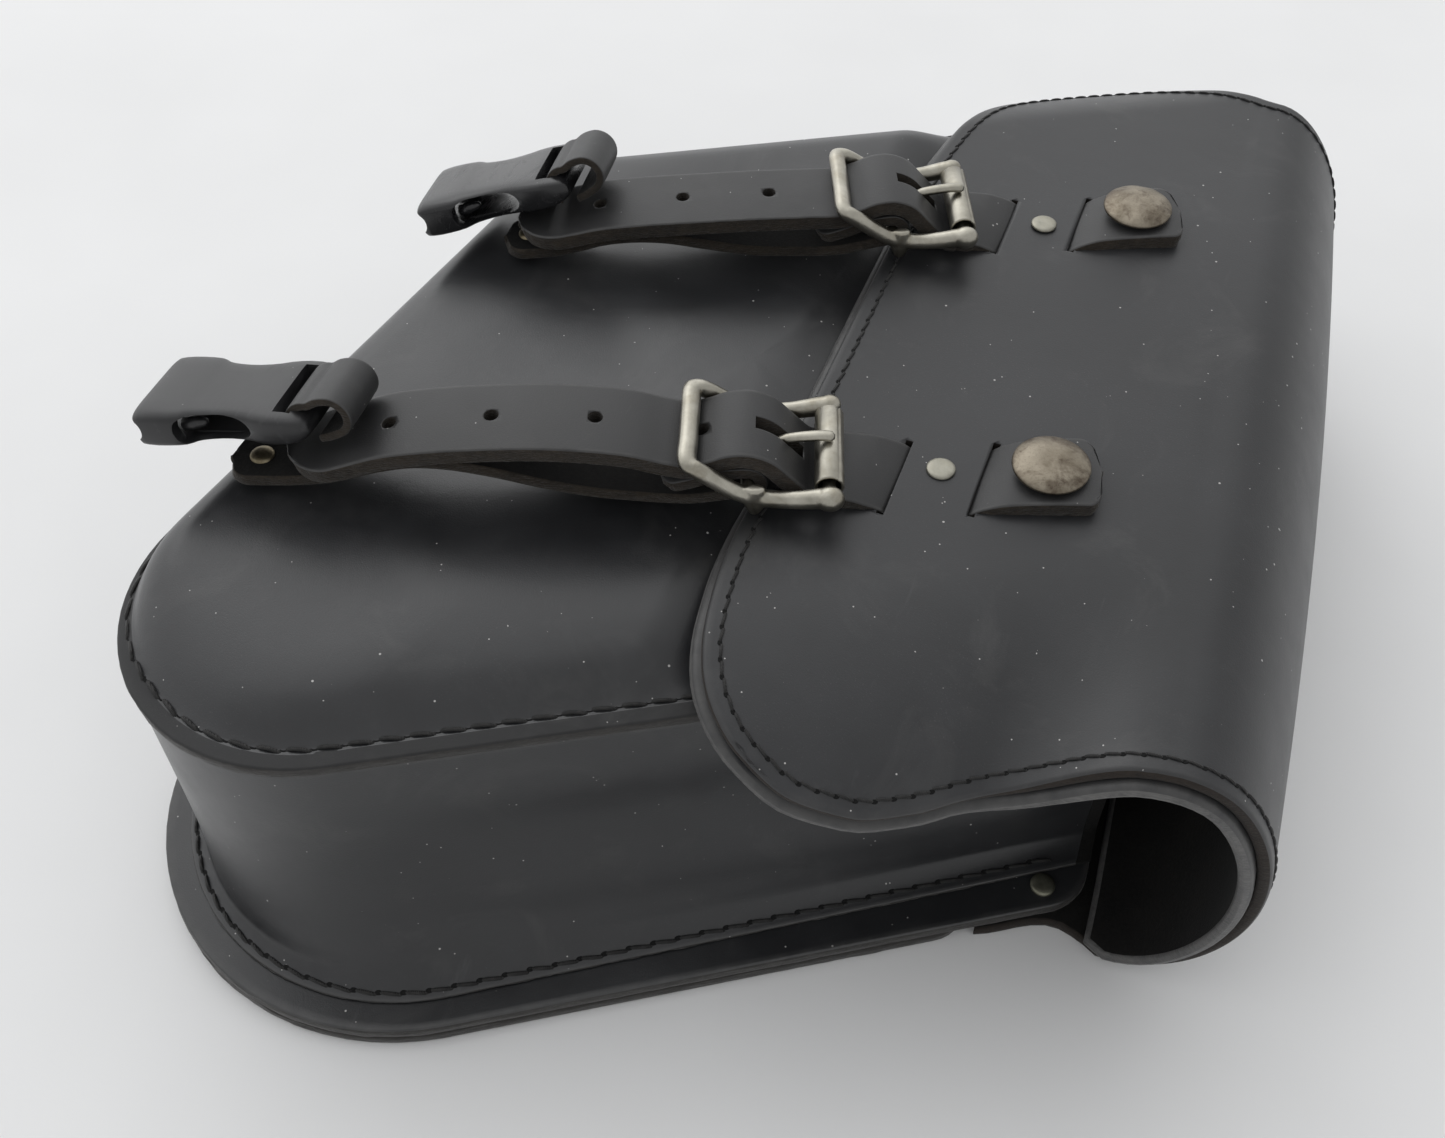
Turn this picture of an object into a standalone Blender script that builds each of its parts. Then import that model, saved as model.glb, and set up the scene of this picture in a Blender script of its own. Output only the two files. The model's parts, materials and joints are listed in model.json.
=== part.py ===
# Slanted leather saddlebag with a rolled lid, two buckle straps and two plastic
# side-release clips, lying on its back.  +Z points out of the front face, +X runs
# from the bag's bottom to its mouth, +Y along the rolled lid.  Z = 0 is the plane
# the back rests on.  "Near" is the -Y side, "far" the +Y side.
# Sizes are in millimetres; meshes are built in metres.
import math

import bmesh
import bpy
from mathutils import Matrix, Vector

MM = 0.001
SIDES = ("near", "far")

# ---------------------------------------------------------------- shared sizes
GAP = 0.3                      # clearance between touching pieces
BODY_T = 3.8                   # gusset leather
FRONT_T = 3.6                  # front panel leather
LID_T = 3.8                    # outer lid layer
LINING_T = 3.0                 # inner lid layer
STRAP_T, STRAP_W = 5.0, 25.0   # buckle straps
CHAPE_T, CHAPE_W, CHAPE_TAB_W = 3.6, 23.0, 16.5   # buckle chapes

LID_TOP = 118.0                # top of the closed lid
ROLL_HALF_DEPTH = 32.0         # rolled end, along X
ROLL_HALF_HEIGHT = LID_TOP / 2
ROLL_SKEW = -0.06              # the roll runs slightly to -X towards the far end
ROLL_X = 114.2                 # centre of the roll at y = 0
STRAP_Z = LID_TOP + GAP + STRAP_T / 2   # middle of a strap lying on the lid

# Each strap has its own frame: origin under the concho, local -X along the strap
# towards the bottom of the bag.  "Distance" below is measured that way.
CONCHO_AT = {"near": (70.0, -25.0), "far": (70.0, 94.0)}
STRAP_ANGLE = {"near": 18.5, "far": 22.5}
STRAP_RIVET_AT = 28.5
STRAP_RIVET_Y = {"near": 3.0, "far": 0.0}      # rivet off the strap's middle
POST_HOLE_R, RIVET_HOLE_R = 2.9, 1.7

# ---------------------------------------------------------------- scene
for old in list(bpy.data.objects):
    bpy.data.objects.remove(old, do_unlink=True)

collection = bpy.data.collections.new("saddlebag")
bpy.context.scene.collection.children.link(collection)

LEATHER = dict(color=(0.022, 0.022, 0.025), roughness=0.42, metallic=0.0)
LEATHER_RAW = dict(color=(0.030, 0.027, 0.025), roughness=0.75, metallic=0.0)
NICKEL = dict(color=(0.62, 0.60, 0.55), roughness=0.34, metallic=1.0)
BRASS = dict(color=(0.36, 0.31, 0.23), roughness=0.45, metallic=1.0)
PLASTIC = dict(color=(0.018, 0.018, 0.020), roughness=0.36, metallic=0.0)


def new_material(name, color, roughness, metallic):
    material = bpy.data.materials.new(name)
    material.use_nodes = True
    inputs = material.node_tree.nodes["Principled BSDF"].inputs
    inputs["Base Color"].default_value = (*color, 1.0)
    inputs["Roughness"].default_value = roughness
    inputs["Metallic"].default_value = metallic
    material.diffuse_color = (*color, 1.0)
    return material


# ---------------------------------------------------------------- numbers and outlines
def smoothstep(start, end, x):
    """0 at start, 1 at end, with level ends; end may be below start."""
    t = min(1.0, max(0.0, (x - start) / (end - start)))
    return t * t * (3 - 2 * t)


def interpolate(table, x):
    """Piecewise linear value at x of sorted (x, value) pairs."""
    if x <= table[0][0]:
        return table[0][1]
    for (x0, value0), (x1, value1) in zip(table, table[1:]):
        if x <= x1:
            return value0 + (value1 - value0) * (x - x0) / (x1 - x0)
    return table[-1][1]


def arc_points(centre_x, centre_y, radius, start, end, steps):
    """Points of an arc between two angles in degrees."""
    angles = [math.radians(start + (end - start) * k / steps) for k in range(steps + 1)]
    return [(centre_x + radius * math.cos(a), centre_y + radius * math.sin(a)) for a in angles]


def between(start, end, steps):
    """The points that split a straight run, without its ends."""
    return [(start[0] + (end[0] - start[0]) * (k / steps),
             start[1] + (end[1] - start[1]) * (k / steps)) for k in range(1, steps)]


def corner_arc(before, corner, after, radius, steps):
    corner = Vector(corner)
    to_before = (Vector(before) - corner).normalized()
    to_after = (Vector(after) - corner).normalized()
    half = to_before.angle(to_after) / 2
    centre = corner + (to_before + to_after).normalized() * (radius / math.sin(half))
    start = corner + to_before * (radius / math.tan(half))
    end = corner + to_after * (radius / math.tan(half))
    angle0 = math.atan2(start.y - centre.y, start.x - centre.x)
    angle1 = math.atan2(end.y - centre.y, end.x - centre.x)
    turn = (angle1 - angle0 + math.pi) % (2 * math.pi) - math.pi
    return [(centre.x + radius * math.cos(angle0 + turn * k / steps),
             centre.y + radius * math.sin(angle0 + turn * k / steps)) for k in range(steps + 1)]


def rounded(corners, radii, arc_steps, line_steps, closed=True):
    """Polygon or open path with arcs at its corners and split straight runs."""
    outline = []
    last = len(corners) - 1
    for i, corner in enumerate(corners):
        if closed or 0 < i < last:
            after = corners[(i + 1) % len(corners)]
            run = corner_arc(corners[i - 1], corner, after, radii[i], arc_steps)
        else:
            run = [corner]
        if outline:
            outline += between(outline[-1], run[0], line_steps)
        outline += run
    if closed:
        outline += between(outline[-1], outline[0], line_steps)
    return outline


def mirrored(points):
    """The points with y negated, in reverse order."""
    return [(x, -y) for x, y in reversed(points)]


# ---------------------------------------------------------------- mesh helpers
def moved(x, y, z):
    return Matrix.Translation((x * MM, y * MM, z * MM))


def turned_by(degrees, axis):
    return Matrix.Rotation(math.radians(degrees), 4, axis)


def add_object(name, mesh, look, world=None):
    mesh.name = name
    obj = bpy.data.objects.new(name, mesh)
    collection.objects.link(obj)
    if not mesh.materials:
        mesh.materials.append(new_material(name, **look))
    if world is not None:
        obj.matrix_world = world
    mesh.shade_smooth()
    mesh.set_sharp_from_angle(angle=math.radians(35))


def to_mesh(bm, recalculate=True):
    if recalculate:
        bmesh.ops.recalc_face_normals(bm, faces=bm.faces)
    mesh = bpy.data.meshes.new("part")
    bm.to_mesh(mesh)
    bm.free()
    return mesh


def welded(mesh):
    """bmesh of the mesh with coincident vertices merged."""
    bm = bmesh.new()
    bm.from_mesh(mesh)
    bmesh.ops.remove_doubles(bm, verts=bm.verts, dist=1e-6)
    return bm


def evaluated(obj):
    """Final mesh of a temporary object, which is then removed."""
    bpy.context.view_layer.update()
    depsgraph = bpy.context.evaluated_depsgraph_get()
    mesh = bpy.data.meshes.new_from_object(obj.evaluated_get(depsgraph))
    bpy.data.objects.remove(obj, do_unlink=True)
    return mesh


def temporary(data):
    obj = bpy.data.objects.new("work", data)
    collection.objects.link(obj)
    return obj


def modified(mesh, kind, **settings):
    """Mesh after one modifier."""
    obj = temporary(mesh)
    modifier = obj.modifiers.new(kind, kind)
    for key, value in settings.items():
        setattr(modifier, key, value)
    return evaluated(obj)


def solidified(mesh, thickness):
    return modified(mesh, "SOLIDIFY", thickness=thickness * MM, offset=-1.0,
                    use_even_offset=True)


def combine(mesh, others, operation="DIFFERENCE"):
    """mesh cut by, or united with, each of the other meshes in turn."""
    for other in others:
        tool = temporary(other)
        mesh = modified(mesh, "BOOLEAN", object=tool, operation=operation, solver="EXACT")
        bpy.data.objects.remove(tool, do_unlink=True)
    return mesh


def facing(mesh, direction):
    """Flip the surface if its middle face doesn't look along direction."""
    if mesh.polygons[len(mesh.polygons) // 2].normal.dot(Vector(direction)) < 0:
        mesh.flip_normals()
    return mesh


def grid_surface(rows):
    """Open surface through rows of points."""
    bm = bmesh.new()
    grid = [[bm.verts.new((x * MM, y * MM, z * MM)) for x, y, z in row] for row in rows]
    for row, following in zip(grid, grid[1:]):
        for i in range(len(row) - 1):
            bm.faces.new((row[i], row[i + 1], following[i + 1], following[i]))
    return to_mesh(bm, recalculate=False)


def box(x0, x1, y0, y1, z0, z1):
    bm = bmesh.new()
    bmesh.ops.create_cube(bm, size=1.0)
    for vert in bm.verts:
        vert.co = Vector(((x0 + x1) / 2 + vert.co.x * (x1 - x0),
                          (y0 + y1) / 2 + vert.co.y * (y1 - y0),
                          (z0 + z1) / 2 + vert.co.z * (z1 - z0))) * MM
    return to_mesh(bm)


def cylinder(radius, length, centre, axis="Z", segments=12):
    """Cylinder along Z or Y."""
    bm = bmesh.new()
    bmesh.ops.create_cone(bm, cap_ends=True, segments=segments, radius1=radius * MM,
                          radius2=radius * MM, depth=length * MM)
    if axis == "Y":
        bm.transform(turned_by(90, "X"))
    bm.transform(Matrix.Translation(Vector(centre) * MM))
    return to_mesh(bm)


def ball(radius, centre):
    bm = bmesh.new()
    bmesh.ops.create_uvsphere(bm, u_segments=12, v_segments=8, radius=radius * MM)
    bm.transform(Matrix.Translation(Vector(centre) * MM))
    return to_mesh(bm)


def lathe(profile, steps):
    """Solid turned about Z from (radius, z) pairs, top to bottom."""
    bm = bmesh.new()
    verts = [bm.verts.new((radius * MM, 0, z * MM)) for radius, z in profile]
    for pair in zip(verts, verts[1:]):
        bm.edges.new(pair)
    mesh = modified(to_mesh(bm, recalculate=False), "SCREW", angle=2 * math.pi, steps=steps,
                    render_steps=steps, axis="Z", use_merge_vertices=True,
                    merge_threshold=1e-6, use_normal_calculate=True)
    return to_mesh(welded(mesh))


def curve_bmesh(paths, cyclic, **settings):
    """Welded bmesh of a poly curve through 2D or 3D points."""
    curve = bpy.data.curves.new("curve", "CURVE")
    for key, value in settings.items():
        setattr(curve, key, value)
    for path in paths:
        spline = curve.splines.new("POLY")
        spline.points.add(len(path) - 1)
        for point, place in zip(spline.points, path):
            point.co = (*(value * MM for value in (*place, 0)[:3]), 1)
        spline.use_cyclic_u = cyclic
    return welded(evaluated(temporary(curve)))


def wire(path, radius):
    """Round wire with capped ends."""
    return to_mesh(curve_bmesh([path], False, dimensions="3D", bevel_depth=radius * MM,
                               bevel_resolution=2, use_fill_caps=True))


def plate(outlines, z0, z1):
    """Flat plate between z0 and z1 from 2D outlines; later ones are holes."""
    bm = curve_bmesh(outlines, True, dimensions="2D", fill_mode="BOTH",
                     extrude=(z1 - z0) / 2 * MM)
    bm.transform(moved(0, 0, (z0 + z1) / 2))
    return to_mesh(bm)


def strip(path, thickness, width):
    """Leather strip swept along (distance, z) points, with local x = -distance.
    width is a number or a function of the length so far and the whole length."""
    points = [Vector((-distance, z)) for distance, z in path]
    lengths = [0.0]
    for start, end in zip(points, points[1:]):
        lengths.append(lengths[-1] + (end - start).length)
    bm = bmesh.new()
    rings = []
    for i, point in enumerate(points):
        arriving = (points[i] - points[i - 1] if i else points[1] - points[0]).normalized()
        leaving = arriving
        if i < len(points) - 1:
            leaving = (points[i + 1] - points[i]).normalized()
        along = (arriving + leaving).normalized()
        # the mitre keeps the thickness through a bend
        offset = Vector((-along.y, along.x)) * (thickness / 2) / max(0.5, along.dot(arriving))
        half = (width(lengths[i], lengths[-1]) if callable(width) else width) / 2
        ring = []
        for face, edge in ((1, 1), (1, -1), (-1, -1), (-1, 1)):
            place = point + offset * face
            ring.append(bm.verts.new((place.x * MM, half * edge * MM, place.y * MM)))
        rings.append(ring)
    for ring, following in zip(rings, rings[1:]):
        for i in range(4):
            j = (i + 1) % 4
            bm.faces.new((ring[i], ring[j], following[j], following[i]))
    bm.faces.new(rings[0])
    bm.faces.new(rings[-1][::-1])
    return to_mesh(bm)


def end_taper(share, least):
    """Width factor of an elliptical end: 1 at share 0, falling to least at share 1."""
    if share <= 0:
        return 1.0
    return max(least, math.sqrt(max(0.0, 1 - share * share)))


# ---------------------------------------------------------------- plan of the bag
# Long sides are lines y = slope * x + offset; the bottom and the mouth are lines
# x = slope * y + offset.
FRONT_NEAR, FRONT_FAR = (0.589, -120.6), (0.577, 147.0)
BACK_NEAR, BACK_FAR = (0.644, -153.1), (0.577, 173.0)
FRONT_BOTTOM, BACK_BOTTOM = (0.1404, -139.2), (0.1404, -151.2)
MOUTH = (ROLL_SKEW, ROLL_X - 7.0)
NEAR_NORMAL = (0.507, -0.862)  # outward from the front's near side
FAR_COS = 0.866                # cosine of the far side's slant
BOTTOM_ALONG, BOTTOM_ACROSS = 0.9903, 0.1390   # unit vector parts of the bottom line

FLANGE = 12.0                  # back panel flange outside the gusset
BASE_NEAR = (0.6874, -134.5)
BASE_FAR = (BACK_FAR[0], BACK_FAR[1] - FLANGE * 1.155)        # 1.155: width along Y
BASE_BOTTOM = (BACK_BOTTOM[0], BACK_BOTTOM[1] + FLANGE * 1.01)  # 1.01: width along X


def crossing(side, cross):
    """Point where a long side meets a bottom or mouth line."""
    slope, offset = side
    cross_slope, cross_offset = cross
    x = (cross_slope * offset + cross_offset) / (1 - cross_slope * slope)
    return (x, slope * x + offset)


def plan(near, far, bottom, mouth=MOUTH):
    """Corners near-mouth, near-bottom, far-bottom, far-mouth."""
    return [crossing(near, mouth), crossing(near, bottom),
            crossing(far, bottom), crossing(far, mouth)]


FRONT_CORNERS = plan(FRONT_NEAR, FRONT_FAR, FRONT_BOTTOM)
BACK_CORNERS = plan(BACK_NEAR, BACK_FAR, BACK_BOTTOM)
BASE_CORNERS = plan(BASE_NEAR, BASE_FAR, BASE_BOTTOM)
# radii of the near-bottom and far-bottom corners
FRONT_RADII, BACK_RADII, BASE_RADII = (53, 44), (78, 56), (66, 44)


def u_path(corners, radii):
    """Open path from the near end of the mouth, round the bottom, to the far end."""
    return rounded(corners, (0, *radii, 0), 7, 5, closed=False)


front_path = u_path(FRONT_CORNERS, FRONT_RADII)
front_outline = rounded(FRONT_CORNERS, (4, *FRONT_RADII, 4), 7, 5)
centre_x = sum(point[0] for point in front_outline) / len(front_outline)
centre_y = sum(point[1] for point in front_outline) / len(front_outline)

# ---------------------------------------------------------------- front panel
SEAM_Z = 100.0                 # top of the front panel's edge flange
# (distance in from the edge, height above the flange)
GENTLE_SHOULDER = ((0, 0), (6.5, 0.5), (9, 1.9), (13, 4.9), (19, 7.8), (28, 9.6),
                   (42, 10.4), (90, 10.6))
STEEP_SHOULDER = ((0, 0), (2.5, 0.6), (5, 4.5), (8, 9.2), (11, 11.6), (16, 12.8),
                  (28, 12.2), (60, 11), (90, 10.6))
RING_SCALES = (1.0, 0.977, 0.958, 0.934, 0.907, 0.87, 0.80, 0.70, 0.56, 0.34)


def nearest(path, x, y):
    """Distance to an open path and the unit direction to its nearest place."""
    best, direction = 1e9, (0.0, 0.0)
    for (x0, y0), (x1, y1) in zip(path, path[1:]):
        run_x, run_y = x1 - x0, y1 - y0
        t = ((x - x0) * run_x + (y - y0) * run_y) / (run_x * run_x + run_y * run_y)
        t = max(0, min(1, t))
        to_x, to_y = x0 + t * run_x - x, y0 + t * run_y - y
        distance = math.hypot(to_x, to_y)
        if distance < best:
            best = distance
            direction = (to_x / max(distance, 1e-9), to_y / max(distance, 1e-9))
    return best, direction


def pillow_height(x, y):
    """Height of the moulded front above its flange: a gentle shoulder along the near
    side, a steep one round the bottom and the far side, lower towards the mouth."""
    distance, direction = nearest(front_path, x, y)
    gentle = interpolate(GENTLE_SHOULDER, distance)
    steep = interpolate(STEEP_SHOULDER, distance)
    near = 0.5
    if distance > 0.01:
        facing_near = direction[0] * NEAR_NORMAL[0] + direction[1] * NEAR_NORMAL[1]
        near = smoothstep(-0.3, 0.75, facing_near)
    return (steep + (gentle - steep) * near) * (1 - 0.60 * smoothstep(-16, 6, x))


def build_front_panel():
    """Rings of the outline drawn in towards the middle, raised as a pillow."""
    bm = bmesh.new()

    def vertex(x, y):
        return bm.verts.new((x * MM, y * MM, (SEAM_Z + pillow_height(x, y)) * MM))

    outer = None
    for scale in RING_SCALES:
        ring = [vertex(centre_x + (x - centre_x) * scale, centre_y + (y - centre_y) * scale)
                for x, y in front_outline]
        if outer:
            for i in range(len(ring)):
                j = (i + 1) % len(ring)
                bm.faces.new((outer[i], outer[j], ring[j], ring[i]))
        outer = ring
    middle = vertex(centre_x, centre_y)
    for i in range(len(outer)):
        bm.faces.new((outer[i], outer[(i + 1) % len(outer)], middle))
    add_object("front_panel", solidified(facing(to_mesh(bm), (0, 0, 1)), FRONT_T), LEATHER)


# ---------------------------------------------------------------- gusset
# (z, share of the way from front outline to base outline, share from there to the
# back outline)
GUSSET_SECTION = ((96.0, 0.0, 0.0), (84.0, 0.02, 0.0), (64.0, 0.07, 0.0), (42.0, 0.20, 0.0),
                  (26.0, 0.48, 0.0), (17.0, 0.80, 0.0), (12.4, 1.0, 0.0), (12.4, 1.0, 0.36))
GUSSET_INSET = 0.006           # share the top edge is drawn in from the front outline


def build_gusset():
    """Wall round the U, flared at its base, foot turned out over the back panel."""
    base_path = u_path(BASE_CORNERS, BASE_RADII)
    back_path = u_path(BACK_CORNERS, BACK_RADII)
    rows = []
    for z, flare, foot in GUSSET_SECTION:
        row = []
        for front, base, back in zip(front_path, base_path, back_path):
            top_x = front[0] + (centre_x - front[0]) * GUSSET_INSET
            top_y = front[1] + (centre_y - front[1]) * GUSSET_INSET
            x = top_x + (base[0] - top_x) * flare
            y = top_y + (base[1] - top_y) * flare
            row.append((x + (back[0] - x) * foot, y + (back[1] - y) * foot, z))
        rows.append(row)
    # the middle face is on the bottom wall, so outward is -X
    wall = facing(grid_surface(rows), (-1, 0, 0))
    add_object("gusset", solidified(wall, BODY_T), LEATHER)


# ---------------------------------------------------------------- back
TAIL_X = 83.0                  # edge of the lid's tail at y = 0
REINFORCEMENT_TOP = 3.9
BACK_Z = (4.2, 8.2)            # underside and top of the back panel


def build_back():
    """Back panel, and the layer under it that stops where the lid's tail begins."""
    outline = rounded(BACK_CORNERS, (16, *BACK_RADII, 16), 8, 1)
    add_object("back_panel", plate([outline], *BACK_Z), LEATHER)
    corners = plan(BACK_NEAR, BACK_FAR, BACK_BOTTOM, mouth=(ROLL_SKEW, TAIL_X - 8))
    outline = rounded(corners, (14, *BACK_RADII, 14), 8, 1)
    add_object("back_reinforcement", plate([outline], 0.0, REINFORCEMENT_TOP), LEATHER)


# ---------------------------------------------------------------- lid
# (x, y) of the lid's two side edges
NEAR_EDGE = ((-1.0, -70.0), (0.5, -91.0), (4.0, -107.5), (11.0, -121.5), (22.0, -130.8),
             (36.0, -135.0), (50.0, -133.0), (64.0, -126.0), (80.0, -114.5),
             (96.0, -108.2), (112.0, -105.2), (130.0, -104.2))
FAR_EDGE = ((-1.0, 98.0), (0.5, 113.0), (3.5, 128.5), (11.0, 147.0), (24.0, 160.5),
            (44.0, 173.0), (66.0, 179.5), (86.0, 181.5), (100.0, 180.5), (112.0, 178.5),
            (130.0, 177.0))
NEAR_END, FAR_END = -104.2, 177.0   # ends of the roll
UNDERSIDE_INSET = 11.0         # how far the near end draws in at the roll's underside

# rows and columns of the lid's grid
ACROSS = (0, .035, .08, .14, .24, .38, .5, .62, .76, .86, .92, .965, 1)
LID_X = (-1.0, 0.5, 4, 11, 22, 36, 50, 64, 80, 96)
UPPER_ANGLES = (0, 14, 28, 42, 56, 72, 88.6)
LOWER_ANGLES = (91.4, 108, 124, 138, 152, 166, 180)
TAIL_ROWS = ((100.0, -93.0), (90.0, -99.0), (TAIL_X, -104.0))   # (x, y of near edge)

SLOT_X = ((-25.2, -9.6), (-48.8, -33.2))   # ends of the two strap slots, strap frame
SLOT_HALF_W = 13.2


def lead_shift(x, y):
    """Bends the leading edge: towards -X at the near corner, towards +X elsewhere."""
    return (1 - smoothstep(0, 40, x)) * (1.8 - 3.4 * smoothstep(-17, -72, y))


def lid_z(x, y):
    """Height of the closed lid: flat, sinking past the bag's two slanted sides."""
    inside_near = (y - FRONT_NEAR[1] - FRONT_NEAR[0] * x) * -NEAR_NORMAL[1]
    inside_far = (FRONT_FAR[0] * x + FRONT_FAR[1] - y) * FAR_COS
    keep = 1 - smoothstep(74, 112, x)
    return (LID_TOP - 13 * keep * (max(0, 22 - inside_near) / 50) ** 2
            - 14 * keep * (max(0, 22 - inside_far) / 30) ** 2)


def lid_point(x, share, inset, depth):
    """Point of the lid's front, share of the way from the near to the far edge, moved
    in by inset at the edges and depth below the surface."""
    lead = min(0, inset) * 1.4 * (1 - smoothstep(0, 34, x))
    near_y = interpolate(NEAR_EDGE, x) + inset
    far_y = interpolate(FAR_EDGE, x) - inset
    y = near_y + (far_y - near_y) * share
    x += lead + lead_shift(x, y)
    step = 0.2
    normal = Vector((lid_z(x - step, y) - lid_z(x + step, y),
                     lid_z(x, y - step) - lid_z(x, y + step), 2 * step)).normalized()
    return (x, y - normal.y * depth, lid_z(x, y) - normal.z * depth)


def roll_point(degrees, share, inset, depth):
    """Point of the roll at an angle from the top (0) to the underside (180)."""
    angle = math.radians(degrees)
    near_y = NEAR_END + inset + UNDERSIDE_INSET * (1 - math.cos(angle)) / 2
    y = near_y + (FAR_END - inset - near_y) * share
    inward = Vector((math.sin(angle) / ROLL_HALF_DEPTH,
                     math.cos(angle) / ROLL_HALF_HEIGHT)).normalized() * depth
    return (ROLL_X + ROLL_SKEW * y + ROLL_HALF_DEPTH * math.sin(angle) - inward.x, y,
            ROLL_HALF_HEIGHT + ROLL_HALF_HEIGHT * math.cos(angle) - inward.y)


def roll_rows(angles, inset, depth):
    return [[roll_point(angle, share, inset, depth) for share in ACROSS] for angle in angles]


def lid_front(inset, depth, thickness):
    """Layer across the lid's front and on to the outermost line of the roll."""
    rows = [[lid_point(x, share, inset, depth) for share in ACROSS] for x in LID_X]
    surface = grid_surface(rows + roll_rows(UPPER_ANGLES, inset, depth))
    return solidified(facing(surface, (0, 0, 1)), thickness)


def lid_back(rows, thickness):
    return solidified(facing(grid_surface(rows), (1, 0, 0)), thickness)


def tail_row(x, near_y):
    """Row of the flat tail that runs in along the plane of the back."""
    ys = [near_y + (FAR_END - 1 - near_y) * share for share in ACROSS]
    return [(x + ROLL_SKEW * y, y, 0.0) for y in ys]


def strap_frame(side):
    x, y = CONCHO_AT[side]
    return moved(x, y, 0) @ turned_by(STRAP_ANGLE[side], "Z")


def lid_cutters():
    """Slots and holes for both straps."""
    cutters = []
    for side in SIDES:
        tools = [box(*ends, -SLOT_HALF_W, SLOT_HALF_W, 100, 125) for ends in SLOT_X]
        tools.append(cylinder(POST_HOLE_R, 60, (0, 0, 110)))
        tools.append(cylinder(RIVET_HOLE_R, 60, (-STRAP_RIVET_AT, STRAP_RIVET_Y[side], 110)))
        for tool in tools:
            tool.transform(strap_frame(side))
        cutters += tools
    return cutters


def build_lid():
    cutters = lid_cutters()
    add_object("lid_outer", combine(lid_front(0.0, 0.0, LID_T), cutters), LEATHER)
    lining = lid_front(-2.5, LID_T + 1.2, LINING_T)
    add_object("lid_lining", combine(lining, cutters), LEATHER_RAW)
    rows = roll_rows(LOWER_ANGLES, 0.0, 0.0) + [tail_row(x, near_y) for x, near_y in TAIL_ROWS]
    add_object("lid_outer_back", lid_back(rows, LID_T), LEATHER)
    rows = roll_rows(LOWER_ANGLES, -2.0, LID_T + GAP)
    add_object("lid_lining_back", lid_back(rows, LINING_T), LEATHER_RAW)


# ---------------------------------------------------------------- buckle straps
BUCKLE_SHIFT = {"near": 1.7, "far": -0.6}      # added to the distances of each buckle
LIFT_AT, LIFT_Z = 48.2, 119.4  # where the free strap bends up from the lid

# (distance, height above STRAP_Z): tab, down one slot, under the lid, up the other
STRAP_PATH = ((-14.0, 0), (-12.6, 0), (-10, 0), (-6, 0), (0, 0), (9, 0), (10.5, -0.3),
              (14, -2.9), (18.5, -9.3), (22, -12.7), (25.4, -13.5), (32.6, -13.5),
              (36, -12.7), (39.5, -9.3), (43.2, -3.9), (46.0, -1.3))
# free end, same columns; the second part moves with the buckle
BILLET_START = ((LIFT_AT + 0.2, 0.1), (52, 0), (58.5, 0))
BILLET_OVER_BUCKLE = ((62.3, 0.9), (66, 3.9), (70, 8.2), (74, 12.3), (79, 14.2),
                      (84, 13.6), (89, 11.3), (94.5, 9.5))
BILLET_END = {
    "near": ((103, 10.6), (111, 12.8), (121, 14.0), (135, 14.4), (148, 13.6), (162, 12.1),
             (176, 9.5), (184, 6.6), (190, 4.3), (195, 2.8), (200, 1.9), (205.0, 1.4)),
    "far": ((101, 9.3), (110, 9.1), (122, 8.8), (135, 8.2), (146, 7.7), (157, 7.0),
            (167.7, 5.9), (175, 4.3), (181, 3.0), (187, 2.0), (193.5, 1.6)),
}
HOLES_AT = {"near": (93.0, 120.9, 148.3, 176.0), "far": (93.6, 115.7, 142.2, 167.7)}
HOLE_R = 2.0
TAB_TIP, BILLET_TIP = 9.0, 13.0     # lengths of the rounded ends


def shifted(points, shift):
    return [(distance + shift, z) for distance, z in points]


def on_lid(points):
    return [(distance, STRAP_Z + height) for distance, height in points]


def strap_mesh(side):
    """Strap from its tab down through a slot, under the lid and up out of the next."""
    def width(along, total):
        return STRAP_W * end_taper((TAB_TIP - along) / TAB_TIP, 0.22)

    rivet = (-STRAP_RIVET_AT, STRAP_RIVET_Y[side], 110)
    return combine(strip(on_lid(STRAP_PATH), STRAP_T, width),
                   [cylinder(POST_HOLE_R, 30, (0, 0, 120)), cylinder(RIVET_HOLE_R, 40, rivet)])


def billet_mesh(side):
    """Free end of the strap: over the roller and the centre bar, under the heel bar."""
    def width(along, total):
        return STRAP_W * end_taper((along - total + BILLET_TIP) / BILLET_TIP, 0.22)

    shift = BUCKLE_SHIFT[side]
    path = [*BILLET_START, *shifted(BILLET_OVER_BUCKLE, shift), *BILLET_END[side]]
    holes = [cylinder(HOLE_R, 60, (-distance, 0, 130), segments=10)
             for distance in HOLES_AT[side]]
    tongue_slot = box(-81.5 - shift, -64.5 - shift, -2.3, 2.3, 110, 150)
    return combine(strip(on_lid(path), STRAP_T, width), holes + [tongue_slot])


# ---------------------------------------------------------------- buckle and chape
ROLLER_AT, CENTRE_BAR_AT, HEEL_AT = 57.5, 79.0, 94.5
ROLLER_Z, CENTRE_BAR_Z, HEEL_Z = 127.5, 125.5, 135.5
CENTRE_BAR_R, ROLLER_BAR_R = 1.8, 1.7
RAIL_R = 2.15                  # rails and heel bar
# one rail: (distance, half width of the frame, z)
RAIL = ((ROLLER_AT, 16.8, ROLLER_Z), (63, 16.5, 126.0), (70, 16.1, 125.0),
        (CENTRE_BAR_AT, 15.8, 125.6), (85, 15.5, 128.8), (90, 15.3, 132.8),
        (93, 14.9, 134.9), (HEEL_AT, 13.4, HEEL_Z))
TONGUE_RING_R, TONGUE_R = 3.6, 1.4
TONGUE_BLADE = ((-CENTRE_BAR_AT + 3.0, 0, CENTRE_BAR_Z + 4.5), (-70, 0, 130.9),
                (-62, 0, 132.6), (-57.5, 0, 133.1), (-53.6, 0, 132.9))

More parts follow.
